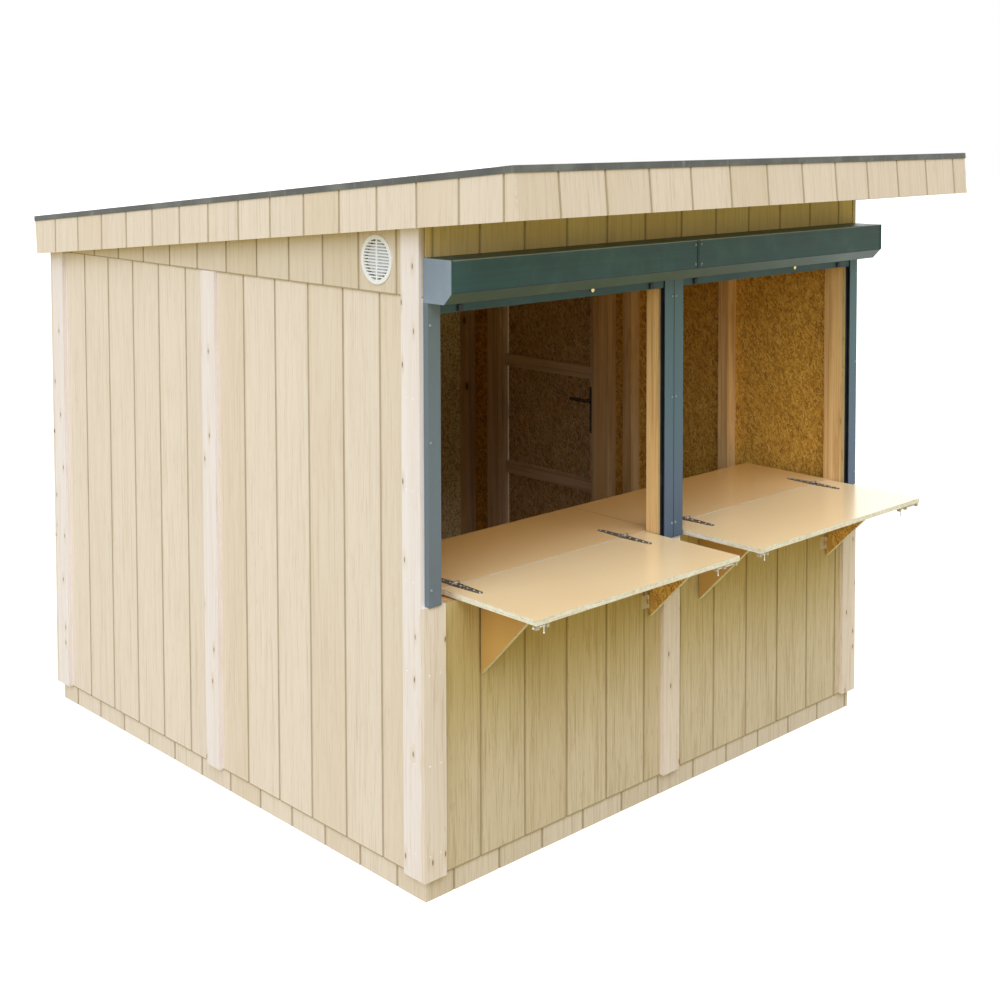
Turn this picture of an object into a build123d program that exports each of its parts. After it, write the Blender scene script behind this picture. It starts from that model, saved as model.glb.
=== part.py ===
"""Wooden market stall with two shuttered serving hatches, folding counter flaps and a side door.

Origin on the ground at the centre of the plinth. X runs to the right along the serving front,
Y from the serving front to the back, Z up. All sizes in millimetres.
"""

import os
from math import cos, radians, sin, tan

from build123d import *

# Plan of the plinth and the floor
plinth_width = 2376
plinth_depth = 2510
plinth_height = 76
plinth_board = 11
floor_board = 18
joist_width = 45
joist_count = 5

left = -plinth_width / 2
right = plinth_width / 2
front = -plinth_depth / 2
back = plinth_depth / 2

# Grooved siding board
siding_thick = 11
siding_proud = 5.5
groove_pitch = 203.2
groove_width = 9.5
groove_depth = 3

face_left = left - siding_proud
face_right = right + siding_proud
face_front = front - siding_proud
face_back = back + siding_proud
lining_left = face_left + siding_thick
lining_right = face_right - siding_thick
lining_front = face_front + siding_thick
lining_back = face_back - siding_thick

# Heights that the walls and the roof take from the doorway
doorway_height = 1930.5
siding_over_door = 57.5
eave_under_joint = 11.4
lintel_over_door = 42.5
siding_top = doorway_height + siding_over_door
lintel_underside = doorway_height + lintel_over_door

# Roof plane, falling from the serving front to the back
roof_slope = 5.28
front_overhang = 515
back_overhang = 50
roof_run = plinth_depth + front_overhang + back_overhang
roof_edge_height = siding_top - eave_under_joint + roof_run * tan(radians(roof_slope))
side_overhang = 69
fascia_depth = 142
fascia_thick = 11
soffit_rise = 3
soffit_thick = 11
roof_board = 18
rafter_width = 45
trimmer_width = 30
felt_thick = 3
trim_height = 22
trim_width = 32
trim_proud = 3

roof_front = front - front_overhang
roof_back = back + back_overhang
roof_left = left - side_overhang
roof_right = right + side_overhang
roof_length = (roof_back - roof_front) / cos(radians(roof_slope))
rafter_foot = soffit_rise + soffit_thick
deck_level = fascia_depth - roof_board
roof = Plane(
    origin=(0, roof_front, roof_edge_height),
    x_dir=(1, 0, 0),
    z_dir=(0, sin(radians(roof_slope)), cos(radians(roof_slope))),
)

# Wall timbers
frame_depth = 60
plate_height = 45
corner_post = 50
middle_post = 100
first_stud = 32
stud_width = 55
jamb_post = 100
lintel_height = 145
front_side_stud = 628
rear_side_stud = 680
stud_before_jamb = 103.5

# Counter height, and what the front takes from it
top_height = 1000
sill_below_top = 24
rail_below_top = 16
sill_height = top_height - sill_below_top

# Battens over the corners and joints
batten_thick = 16
batten_width = 93
front_batten_top = top_height - rail_below_top
low_batten_top = sill_height

# Doorway in the right wall, placed from the back of the plinth
doorway_from_back = 328
doorway_width = 694

door_gap = 5.5
door_foot = 84
ledge_thick = 28
ledge_height = 63
low_ledges = (98, 681, 1256)
top_ledge_drop = 14
latch_stile = 44
lever_height = 1153
lever_inset = 39
lever_reach = 112
spindle_radius = 4

# Serving hatches, shutters and rails
rail_width = 52
rail_depth = 22.5
rail_slot = 12
rail_slot_deep = 34
box_underside = lintel_underside
box_height = 144
box_depth = 140.5
box_chamfer = 39
box_seam = 1
slat_drop = 39
slat_thick = 14
slat_off_wall = 4.5
lock_radius = 7.5
lock_drop = 17
lock_offsets = (158, 151)

# Worktop and flaps
top_thick = 18
bearer = 45
bearer_from_edge = 20
worktop_back = 520
worktop_gap = 0.6
hinge_line = 66
hinge_gap = 5
hinge_lift = 6
flap_reach = 459
flap_left_margins = (69.5, 8)
flap_right_margins = (14, 10.5)
strap_insets = ((62, 113), (124, 107))
strap_thick = 2.5
strap_root = 34
strap_tip = 18
strap_length = 126
knuckle_radius = 5.5
bolt_insets = ((45, 105), (38, 120))
bolt_back_set = 13
bolt_radius = 4
bolt_proud = 2
bolt_tail = 20
bolt_drop = 9
bolt_handle = 24
keeper_width = 10
keeper_shifts = (-12, 30)

# Brackets under the flaps
bracket_leg = 272
bracket_thick = 18
bracket_insets = ((117, 49), (115, 106))
bracket_below = 5
bracket_off_wall = 6
bracket_axis_out = 7

# Vent in the left gable
vent_from_front = 224
vent_over_joint = 109
vent_radius = 82
vent_hole_radius = 72
vent_height = siding_top + vent_over_joint

side_groove_starts = {"plinth": 150, "wall": 219, "gable": 121.7, "fascia": 55}
front_groove_starts = {"plinth": 120.2, "apron": 235.8, "header": 238.7, "fascia": 184}


def grooves(first, start, end):
    """Groove centres between two ends of a board, spaced by the siding's pitch."""
    centres = []
    place = start + first
    while place < end - groove_width:
        centres.append(place)
        place += groove_pitch
    return centres


def roof_height(y, rise):
    """Height of the sheet that lies a given distance above the roof plane, over the point y."""
    return roof_edge_height - (y - roof_front) * tan(radians(roof_slope)) + rise / cos(radians(roof_slope))


def along_roof(y, rise):
    """Distance up the roof plane from its front edge to the point y at the given rise."""
    return (y - roof_front - rise * sin(radians(roof_slope))) / cos(radians(roof_slope))


def squared(x, y, z):
    """One squared timber or board between three pairs of faces."""
    with Locations(((x[0] + x[1]) / 2, (y[0] + y[1]) / 2, (z[0] + z[1]) / 2)):
        Box(x[1] - x[0], y[1] - y[0], z[1] - z[0])


def side_face(points, x):
    """Outline in a plane across X, from (y, z) corners."""
    with BuildSketch(Plane.YZ.offset(x)) as outline:
        with BuildLine():
            Polyline(*points, close=True)
        make_face()
    return outline.sketch


def sheared(y_start, y_end, low, high):
    """Corners of a side panel whose top edge follows the roof."""
    return [
        (y_start, low),
        (y_end, low),
        (y_end, roof_height(y_end, high)),
        (y_start, roof_height(y_start, high)),
    ]


def side_grooves(x, centres, deep):
    """Upright grooves on a side panel, cut along X by the given depth."""
    with BuildSketch(Plane.YZ.offset(x)) as marks:
        with Locations([(y, roof_edge_height / 2) for y in centres]):
            Rectangle(groove_width, roof_edge_height * 2)
    extrude(marks.sketch, amount=deep, mode=Mode.SUBTRACT)


def front_grooves(y, centres, deep):
    """Upright grooves on a front or back panel, cut along -Y by the given depth."""
    with BuildSketch(Plane.XZ.offset(-y)) as marks:
        with Locations([(x, roof_edge_height / 2) for x in centres]):
            Rectangle(groove_width, roof_edge_height * 2)
    extrude(marks.sketch, amount=deep, mode=Mode.SUBTRACT)


# Floor frame: two long rims with joists fitted between them
joist_gap = 0.3
floor_span = plinth_width - 2 * plinth_board
floor_run = plinth_depth - 2 * plinth_board

with BuildPart() as floor_frame:
    with BuildSketch():
        with GridLocations(floor_span - joist_width, 1, 2, 1):
            Rectangle(joist_width, floor_run)
        with GridLocations(1, (floor_run - joist_width) / (joist_count + 1), 1, joist_count + 2):
            Rectangle(floor_span - 2 * joist_width - 2 * joist_gap, joist_width)
    extrude(amount=plinth_height - floor_board)
floor_frame.part.label = "floor_frame"

with BuildPart() as floor_deck:
    with BuildSketch(Plane.XY.offset(plinth_height - floor_board)):
        Rectangle(floor_span, floor_run)
    extrude(amount=floor_board)
floor_deck.part.label = "floor_deck"

# Plinth boards: the side boards run the whole depth, the end boards fit between them
with BuildPart() as plinth_sides:
    for x in ((left, left + plinth_board), (right - plinth_board, right)):
        squared(x, (front, back), (0, plinth_height))
    marks = grooves(side_groove_starts["plinth"], front, back)
    side_grooves(left, marks, groove_depth)
    side_grooves(right, marks, -groove_depth)
plinth_sides.part.label = "plinth_sides"

with BuildPart() as plinth_ends:
    for y in ((front, front + plinth_board), (back - plinth_board, back)):
        squared((left + plinth_board, right - plinth_board), y, (0, plinth_height))
    marks = grooves(front_groove_starts["plinth"], left, right - plinth_board)
    front_grooves(front, marks, -groove_depth)
    front_grooves(back, marks, groove_depth)
plinth_ends.part.label = "plinth_ends"

# Left wall siding and the gable board that laps it, with the hole for the vent
with BuildPart() as left_siding:
    squared((face_left, lining_left), (face_front, face_back), (plinth_height, siding_top))
    side_grooves(face_left, grooves(side_groove_starts["wall"], front, face_back), groove_depth)
left_siding.part.label = "left_siding"

gable_outline = sheared(face_front, face_back, siding_top, deck_level)
gable_marks = grooves(side_groove_starts["gable"], front, face_back)

with BuildPart() as left_gable:
    extrude(side_face(gable_outline, left - siding_thick), amount=siding_thick)
    side_grooves(left - siding_thick, gable_marks, groove_depth)
    with BuildSketch(Plane.YZ.offset(left - siding_thick)):
        with Locations((front + vent_from_front, vent_height)):
            Circle(vent_hole_radius)
    extrude(amount=siding_thick, mode=Mode.SUBTRACT)
left_gable.part.label = "left_gable"

with BuildPart() as right_gable:
    extrude(side_face(gable_outline, right), amount=siding_thick)
    side_grooves(right + siding_thick, gable_marks, -groove_depth)
right_gable.part.label = "right_gable"

# Right wall siding, split beside and over the doorway
door_back = back - doorway_from_back
door_front = door_back - doorway_width
wall_marks = grooves(side_groove_starts["wall"], front, face_back)

with BuildPart() as right_siding:
    for y in ((face_front, door_front), (door_back, face_back)):
        squared((lining_right, face_right), y, (plinth_height, siding_top))
    side_grooves(face_right, wall_marks, -groove_depth)
right_siding.part.label = "right_siding"

with BuildPart() as door_head_siding:
    squared((lining_right, face_right), (door_front, door_back), (doorway_height, siding_top))
    side_grooves(face_right, wall_marks, -groove_depth)
door_head_siding.part.label = "door_head_siding"

# Back wall siding, up to the underside of the rafters
with BuildPart() as back_siding:
    squared((lining_left, lining_right), (lining_back, face_back), (plinth_height, roof_edge_height))
    split(bisect_by=roof.offset(rafter_foot), keep=Keep.BOTTOM)
    front_grooves(face_back, grooves(front_groove_starts["apron"], left, lining_right), groove_depth)
back_siding.part.label = "back_siding"

# Front siding: apron below the hatches, header above, and strips on the posts
with BuildPart() as front_apron:
    squared((lining_left, lining_right), (face_front, lining_front), (plinth_height, sill_height))
    front_grooves(face_front, grooves(front_groove_starts["apron"], left, lining_right), -groove_depth)
front_apron.part.label = "front_apron"

with BuildPart() as front_header:
    squared(
        (lining_left, lining_right), (face_front, lining_front), (lintel_underside, roof_edge_height)
    )
    split(bisect_by=roof.offset(rafter_foot), keep=Keep.BOTTOM)
    front_grooves(face_front, grooves(front_groove_starts["header"], left, lining_right), -groove_depth)
front_header.part.label = "front_header"

post_left = (lining_left, lining_left + corner_post)
post_middle = (-middle_post / 2, middle_post / 2)
post_right = (lining_right - corner_post, lining_right)

with BuildPart() as front_facings:
    for x in (post_left, post_middle, post_right):
        squared(x, (face_front, lining_front), (sill_height, lintel_underside))
front_facings.part.label = "front_facings"

# Battens over the corners and board joints; the corner ones are thinned where the gable laps
batten_front = (face_front, front + batten_width - siding_proud)
batten_mid = (-batten_width / 2, batten_width / 2)
batten_rear = (back - batten_width + siding_proud, face_back)

with BuildPart() as side_battens:
    for x in ((face_left - batten_thick, face_left), (face_right, face_right + batten_thick)):
        for y in (batten_front, batten_rear):
            squared(x, y, (plinth_height, roof_edge_height))
    split(bisect_by=roof.offset(soffit_rise), keep=Keep.BOTTOM)
    for x in ((left - siding_thick, face_left), (face_right, right + siding_thick)):
        with Locations(((x[0] + x[1]) / 2, 0, siding_top + roof_edge_height / 2)):
            Box(siding_proud, plinth_depth * 2, roof_edge_height, mode=Mode.SUBTRACT)
    for x in ((face_left - batten_thick, face_left), (face_right, face_right + batten_thick)):
        squared(x, batten_mid, (plinth_height, siding_top))
side_battens.part.label = "side_battens"

with BuildPart() as end_battens:
    corner_left = (face_left - batten_thick, face_left - batten_thick + batten_width)
    corner_right = (face_right + batten_thick - batten_width, face_right + batten_thick)
    for x, top in (
        (corner_left, front_batten_top),
        (batten_mid, front_batten_top),
        (corner_right, low_batten_top),
    ):
        squared(x, (face_front - batten_thick, face_front), (plinth_height, top))
    for x in (corner_left, batten_mid, corner_right):
        squared(x, (face_back, face_back + batten_thick), (plinth_height, roof_edge_height))
    split(bisect_by=roof.offset(soffit_rise), keep=Keep.BOTTOM)
end_battens.part.label = "end_battens"

# Front frame: posts from the floor to the rafters, and the rails between them
frame_front = (lining_front, lining_front + frame_depth)
front_bays = ((post_left[1], post_middle[0]), (post_middle[1], post_right[0]))

with BuildPart() as front_posts:
    for x in (post_left, post_middle, post_right):
        squared(x, frame_front, (plinth_height, roof_edge_height))
    split(bisect_by=roof.offset(rafter_foot), keep=Keep.BOTTOM)
front_posts.part.label = "front_posts"

with BuildPart() as front_rails:
    for x in front_bays:
        squared(x, frame_front, (plinth_height, plinth_height + plate_height))
        squared(x, frame_front, (sill_height - plate_height, sill_height))
        squared(x, frame_front, (lintel_underside, lintel_underside + lintel_height))
        squared(x, frame_front, (roof_height(front, rafter_foot - plate_height), roof_edge_height))
    split(bisect_by=roof.offset(rafter_foot), keep=Keep.BOTTOM)
front_rails.part.label = "front_rails"

# Side and back frames: plates along the floor and under the rafters, studs between them
frame_left = (lining_left, lining_left + frame_depth)
frame_right = (lining_right - frame_depth, lining_right)
frame_back = (lining_back - frame_depth, lining_back)
plate_foot = (plinth_height, plinth_height + plate_height)
left_studs = [front + front_side_stud, -stud_width / 2, back - rear_side_stud]
right_studs = [front + front_side_stud, door_front - jamb_post - stud_before_jamb - stud_width]

with BuildPart() as wall_plates:
    squared(frame_left, (frame_front[1], lining_back), plate_foot)
    squared(frame_right, (frame_front[1], door_front), plate_foot)
    squared(frame_right, (door_back, lining_back), plate_foot)
    for x in (frame_left, frame_right):
        top_edge = [
            (frame_front[1], roof_height(frame_front[1], rafter_foot - plate_height)),
            (lining_back, roof_height(lining_back, rafter_foot - plate_height)),
            (lining_back, roof_height(lining_back, rafter_foot)),
            (frame_front[1], roof_height(frame_front[1], rafter_foot)),
        ]
        extrude(side_face(top_edge, x[0]), amount=frame_depth)
    between = (frame_left[1] + 0.4, frame_right[0] - 0.4)
    squared(between, frame_back, plate_foot)
    back_plate = [
        (frame_back[0], roof_height(frame_back[0], rafter_foot - plate_height)),
        (frame_back[1], roof_height(frame_back[1], rafter_foot - plate_height)),
        (frame_back[1], roof_height(frame_back[1], rafter_foot)),
        (frame_back[0], roof_height(frame_back[0], rafter_foot)),
    ]
    extrude(side_face(back_plate, between[0]), amount=between[1] - between[0])
wall_plates.part.label = "wall_plates"

with BuildPart() as wall_studs:
    stud_height = (plate_foot[1], roof_edge_height)
    first = (frame_front[1], frame_front[1] + first_stud)
    squared(post_left, first, stud_height)
    squared(post_right, first, stud_height)
    for y in left_studs:
        squared(frame_left, (y, y + stud_width), stud_height)
    for y in right_studs:
        squared(frame_right, (y, y + stud_width), stud_height)
    for y in ((door_front - jamb_post, door_front), (door_back, door_back + jamb_post)):
        squared(frame_right, y, stud_height)
    for x in (frame_left, frame_right):
        squared(x, frame_back, stud_height)
    for place in (-0.5, 0, 0.5):
        middle = place * (frame_right[0] - frame_left[1]) / 2
        squared((middle - stud_width / 2, middle + stud_width / 2), frame_back, stud_height)
    split(bisect_by=roof.offset(rafter_foot - plate_height), keep=Keep.BOTTOM)
wall_studs.part.label = "wall_studs"

# Door frame: head beam with its stop, and a stop strip on each jamb
stop_face = lining_right - ledge_thick - door_gap
stop_thick = 22
stop_width = 15

with BuildPart() as door_frame:
    squared(frame_right, (door_front, door_back), (doorway_height, doorway_height + plate_height))
    squared(
        (stop_face - stop_thick, stop_face),
        (door_front, door_back),
        (doorway_height - 2 * stop_width, doorway_height),
    )
    for y in ((door_front, door_front + stop_width), (door_back - stop_width, door_back)):
        squared(
            (stop_face - stop_thick, stop_face),
            y,
            (plinth_height, doorway_height - 2 * stop_width - 0.4),
        )
door_frame.part.label = "door_frame"

# Roof timbers, drawn in the roof plane
rafter_start = fascia_thick + trimmer_width
rafter_end = roof_length - fascia_thick - trimmer_width

with BuildPart() as roof_trimmers:
    with BuildSketch(roof.offset(rafter_foot)):
        for start in (fascia_thick, rafter_end):
            with Locations((0, start + trimmer_width / 2)):
                Rectangle(roof_right - roof_left - 2 * fascia_thick, trimmer_width)
    extrude(amount=deck_level - rafter_foot)
roof_trimmers.part.label = "roof_trimmers"

with BuildPart() as rafters:
    verge = roof_right - fascia_thick - rafter_width / 2
    gable_rafter = right - rafter_width / 2
    inner = gable_rafter / 2
    with BuildSketch(roof.offset(rafter_foot)):
        for x in (-verge, -gable_rafter, -inner, 0, inner, gable_rafter, verge):
            with Locations((x, (rafter_start + rafter_end) / 2)):
                Rectangle(rafter_width, rafter_end - rafter_start)
    extrude(amount=deck_level - rafter_foot)
rafters.part.label = "rafters"

with BuildPart() as roof_deck:
    with BuildSketch(roof.offset(deck_level)):
        with Locations((0, roof_length / 2)):
            Rectangle(roof_right - roof_left - 2 * fascia_thick, roof_length - 2 * fascia_thick)
    extrude(amount=roof_board)
roof_deck.part.label = "roof_deck"

# Fascias with the siding's grooves; the side boards cover the ends of the other two
with BuildPart() as fascia_sides:
    with BuildSketch(roof):
        for x in (roof_left + fascia_thick / 2, roof_right - fascia_thick / 2):
            with Locations((x, roof_length / 2)):
                Rectangle(fascia_thick, roof_length)
    extrude(amount=fascia_depth)
    marks = grooves(side_groove_starts["fascia"], roof_front, roof_back)
    side_grooves(roof_left, marks, groove_depth)
    side_grooves(roof_right, marks, -groove_depth)
fascia_sides.part.label = "fascia_sides"

with BuildPart() as fascia_ends:
    with BuildSketch(roof):
        for place in (fascia_thick / 2, roof_length - fascia_thick / 2):
            with Locations((0, place)):
                Rectangle(roof_right - roof_left - 2 * fascia_thick, fascia_thick)
    extrude(amount=fascia_depth)
    marks = grooves(front_groove_starts["fascia"], roof_left, roof_right)
    with BuildSketch(roof):
        for place in (groove_depth / 2, roof_length - groove_depth / 2):
            with Locations([(x, place) for x in marks]):
                Rectangle(groove_width, groove_depth)
    extrude(amount=fascia_depth, mode=Mode.SUBTRACT)
fascia_ends.part.label = "fascia_ends"

# Soffit boards under the overhangs
soffit_front = along_roof(face_front, soffit_rise + soffit_thick) - 0.3
soffit_rear = along_roof(face_back, soffit_rise) + 0.3

with BuildPart() as soffit:
    with BuildSketch(roof.offset(soffit_rise)):
        with Locations((0, roof_length / 2)):
            Rectangle(roof_right - roof_left - 2 * fascia_thick, roof_length - 2 * fascia_thick)
        with Locations((0, (soffit_front + soffit_rear) / 2)):
            Rectangle(
                plinth_width + 2 * siding_thick + 0.6, soffit_rear - soffit_front, mode=Mode.SUBTRACT
            )
    extrude(amount=soffit_thick)
soffit.part.label = "soffit"

# Roof felt, and the trim on its edges: battens on three sides and a drip along the low edge
with BuildPart() as roof_felt:
    with BuildSketch(roof.offset(fascia_depth)):
        felt_start = trim_width - trim_proud + 0.3
        felt_end = roof_length - 60
        with Locations((0, (felt_start + felt_end) / 2)):
            Rectangle(roof_right - roof_left - 2 * felt_start, felt_end - felt_start)
    extrude(amount=felt_thick)
roof_felt.part.label = "roof_felt"

with BuildPart() as edge_trims:
    trim_outer = roof_right + trim_proud
    with BuildSketch(roof.offset(fascia_depth)):
        for x in (-trim_outer + trim_width / 2, trim_outer - trim_width / 2):
            with Locations((x, (roof_length - trim_proud) / 2)):
                Rectangle(trim_width, roof_length + trim_proud)
        with Locations((0, trim_width / 2 - trim_proud)):
            Rectangle(2 * (trim_outer - trim_width) - 0.8, trim_width)
    extrude(amount=trim_height)
    drip = 3
    drip_out = roof_back + 35
    with BuildSketch(Plane.YZ.offset(-(trim_outer - trim_width) + 0.4)) as drip_outline:
        with BuildLine():
            Polyline(
                (roof_back - 44, roof_height(roof_back - 44, fascia_depth)),
                (drip_out - drip, roof_height(drip_out - drip, fascia_depth)),
                (drip_out - drip, roof_height(drip_out, fascia_depth) - 18),
                (drip_out, roof_height(drip_out, fascia_depth) - 18),
                (drip_out, roof_height(drip_out, fascia_depth + drip)),
                (roof_back - 44, roof_height(roof_back - 44, fascia_depth + drip)),
                close=True,
            )
        make_face()
    extrude(drip_outline.sketch, amount=2 * (trim_outer - trim_width) - 0.8)
edge_trims.part.label = "edge_trims"

# Roller shutter boxes with a chamfered lower front edge
box_front = face_front - box_depth
box_left = (left - 4, -box_seam / 2)
box_right = (box_seam / 2, right + 4)
box_outline = [
    (face_front, box_underside),
    (face_front, box_underside + box_height),
    (box_front, box_underside + box_height),
    (box_front, box_underside + box_chamfer),
    (box_front + box_chamfer, box_underside),
]

with BuildPart() as shutter_boxes:
    for x in (box_left, box_right):
        extrude(side_face(box_outline, x[0]), amount=x[1] - x[0])
shutter_boxes.part.label = "shutter_boxes"

# Guide rails: channels whose slot faces the hatch
rail_y = (face_front - rail_depth, face_front)
slot_y = (face_front - slat_off_wall - rail_slot - 1, face_front - slat_off_wall - 1)
rails = (
    ((left - 4, left - 4 + rail_width), 1),
    ((-rail_width, -0.2), -1),
    ((0.2, rail_width), 1),
    ((right + 4 - rail_width, right + 4), -1),
)

with BuildPart() as guide_rails:
    for x, side in rails:
        squared(x, rail_y, (front_batten_top, box_underside))
    for x, side in rails:
        mouth = x[1] if side > 0 else x[0]
        with Locations((mouth - side * rail_slot_deep / 2, (slot_y[0] + slot_y[1]) / 2, box_underside)):
            Box(rail_slot_deep, rail_slot, 2 * box_underside, mode=Mode.SUBTRACT)
guide_rails.part.label = "guide_rails"

# Bottom slats of the raised shutters, with a lock cylinder in each
slat_y = (face_front - slat_off_wall - slat_thick, face_front - slat_off_wall)
slat_height = (box_underside - slat_drop, box_underside)
hatch_left = (rails[0][0][1] + 2, rails[1][0][0] - 2)
hatch_right = (rails[2][0][1] + 2, rails[3][0][0] - 2)
lock_places = [
    (hatch[0] + hatch[1]) / 2 + offset for hatch, offset in zip((hatch_left, hatch_right), lock_offsets)
]

with BuildPart() as shutter_slats:
    for x in (hatch_left, hatch_right):
        squared(x, slat_y, slat_height)
shutter_slats.part.label = "shutter_slats"

with BuildPart() as shutter_locks:
    for x in lock_places:
        with BuildSketch(Plane.XZ.offset(-slat_y[0])):
            with Locations((x, box_underside - lock_drop)):
                Circle(lock_radius)
        extrude(amount=5)
        with BuildSketch(Plane.XZ.offset(-slat_y[0] + 5)):
            with Locations((x, box_underside - lock_drop)):
                Rectangle(1.6, 8)
        extrude(amount=-2, mode=Mode.SUBTRACT)
shutter_locks.part.label = "shutter_locks"

# Worktop boards behind the hatches and the bearers under them
top_z = (top_height - top_thick, top_height)
axis_y = front + hinge_line
axis_z = top_height + hinge_lift
work_front = axis_y + hinge_gap / 2
work_back = front + worktop_back

with BuildPart() as worktops:
    squared((post_left[1] + 0.5, -worktop_gap / 2), (work_front, work_back), top_z)
    squared((worktop_gap / 2, post_right[0] - 0.5), (work_front, work_back), top_z)
worktops.part.label = "worktops"

with BuildPart() as worktop_bearers:
    bearer_span = post_right[0] - post_left[1] - 1
    bearer_deep = work_back - frame_front[1] - bearer_from_edge
    with BuildSketch(Plane.XY.offset(top_z[0] - bearer)):
        with Locations((0, frame_front[1] + bearer_deep / 2)):
            Rectangle(bearer_span, bearer_deep)
            with GridLocations((bearer_span - bearer) / 2, 1, 2, 1):
                Rectangle((bearer_span - 3 * bearer) / 2, bearer_deep - 2 * bearer, mode=Mode.SUBTRACT)
    extrude(amount=bearer)
worktop_bearers.part.label = "worktop_bearers"

# Counter flaps
flap_left_x = (post_left[1] + flap_left_margins[0], post_middle[0] - flap_left_margins[1])
flap_right_x = (post_middle[1] + flap_right_margins[0], post_right[0] - flap_right_margins[1])
flap_y = (axis_y - flap_reach, axis_y - hinge_gap / 2)
flaps = (flap_left_x, flap_right_x)
strap_places = [
    place
    for flap, inset in zip(flaps, strap_insets)
    for place in (flap[0] + inset[0], flap[1] - inset[1])
]

with BuildPart() as flap_left:
    squared(flap_left_x, flap_y, top_z)
flap_left.part.label = "flap_left"

with BuildPart() as flap_right:
    squared(flap_right_x, flap_y, top_z)
flap_right.part.label = "flap_right"


def strap_outline(x, way):
    """Tapered strap of a hinge on the board's face, from its knuckle to its rounded end."""
    root = axis_y + way * (knuckle_radius + 0.4)
    tip = axis_y + way * strap_length
    with BuildSketch(Plane.XY.offset(top_height)) as outline:
        with BuildLine():
            Polyline(
                (x - strap_root / 2, root),
                (x + strap_root / 2, root),
                (x + strap_tip / 2, tip),
                (x - strap_tip / 2, tip),
                close=True,
            )
        make_face()
        with Locations((x, tip)):
            Circle(strap_tip / 2)
    return outline.sketch


def knuckle(x_low, x_high, y, z, radius):
    """Hinge barrel along X."""
    with BuildSketch(Plane.YZ.offset(x_low)) as ring:
        with Locations((y, z)):
            Circle(radius)
    extrude(ring.sketch, amount=x_high - x_low)


def strap_leaf(x, way, spans):
    """One half of a strap hinge: the strap, the web up to the pin and its barrels."""
    extrude(strap_outline(x, way), amount=strap_thick)
    for low, high in spans:
        knuckle(x + low, x + high, axis_y, axis_z, knuckle_radius)
        web = sorted((axis_y + way * 1, axis_y + way * (knuckle_radius + 4)))
        squared((x + low, x + high), web, (top_height + 0.6, top_height + strap_thick))


barrel = strap_root / 3

# Bolt cases under the flaps, one near each front corner, and the sliding bolts in them
bolt_y = flap_y[0] + bolt_back_set
bolt_z = top_z[0] - bolt_drop
bolt_places = [
    (flap[0] + inset[0], -1, inset[0]) if end == 0 else (flap[1] - inset[1], 1, inset[1])
    for flap, inset in zip(flaps, bolt_insets)
    for end in (0, 1)
]


def bolt_case(x, way, inset):
    """Backing plate with keepers bored for the bolt, the last one by the end of the flap."""
    shifts = [*keeper_shifts, inset - keeper_width]
    ends = sorted((x + way * (keeper_shifts[0] - keeper_width / 2), x + way * (inset - 2)))
    squared(ends, (bolt_y - 12, bolt_y + 12), (top_z[0] - 2, top_z[0]))
    for shift in shifts:
        squared(
            (x + way * shift - keeper_width / 2, x + way * shift + keeper_width / 2),
            (bolt_y - 8, bolt_y + 8),
            (bolt_z - bolt_radius - 3, top_z[0] - 2),
        )
    with BuildSketch(Plane.YZ.offset(ends[0] - 5)) as bore:
        with Locations((bolt_y, bolt_z)):
            Circle(bolt_radius + 0.4)
    extrude(bore.sketch, amount=ends[1] - ends[0] + 10, mode=Mode.SUBTRACT)


def flap_ironwork(straps, bolts):
    """Straps on top of a flap and the bolt cases under it."""
    for x in straps:
        strap_leaf(x, -1, [(-barrel / 2 + 0.4, barrel / 2 - 0.4)])
    for x in straps:
        with BuildSketch(Plane.YZ.offset(x - strap_root)) as bore:
            with Locations((axis_y, axis_z)):
                Circle(2.4)
        extrude(bore.sketch, amount=2 * strap_root, mode=Mode.SUBTRACT)
    for x, way, inset in bolts:
        bolt_case(x, way, inset)


with BuildPart() as flap_left_ironwork:
    flap_ironwork(strap_places[:2], bolt_places[:2])
flap_left_ironwork.part.label = "flap_left_ironwork"

with BuildPart() as flap_right_ironwork:
    flap_ironwork(strap_places[2:], bolt_places[2:])
flap_right_ironwork.part.label = "flap_right_ironwork"

bolts = []
for count, (x, way, inset) in enumerate(bolt_places, start=1):
    with BuildPart() as bolt:
        tail, tip = sorted((x - way * bolt_tail, x + way * (inset + bolt_proud)))
        knuckle(tail, tip, bolt_y, bolt_z, bolt_radius)
        with BuildSketch(Plane.XY.offset(bolt_z)) as handle:
            with Locations((x, bolt_y)):
                Circle(2)
        extrude(handle.sketch, amount=-bolt_handle)
        with Locations((x, bolt_y, bolt_z - bolt_handle)):
            Sphere(3.5)
    bolt.part.label = f"bolt_{count}"
    bolts.append(bolt)

# Brackets: upright right-angled boards, hinged on the front siding
bracket_top = top_z[0] - bracket_below
bracket_back = face_front - bracket_off_wall
bracket_places = [
    (flap[0] + inset[0], 1) if end == 0 else (flap[1] - inset[1], -1)
    for flap, inset in zip(flaps, bracket_insets)
    for end in (0, 1)
]
bracket_axis_y = face_front - bracket_axis_out
leaf_rows = (40, 190)
leaf_height = 50
leaf_thick = 2

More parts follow.
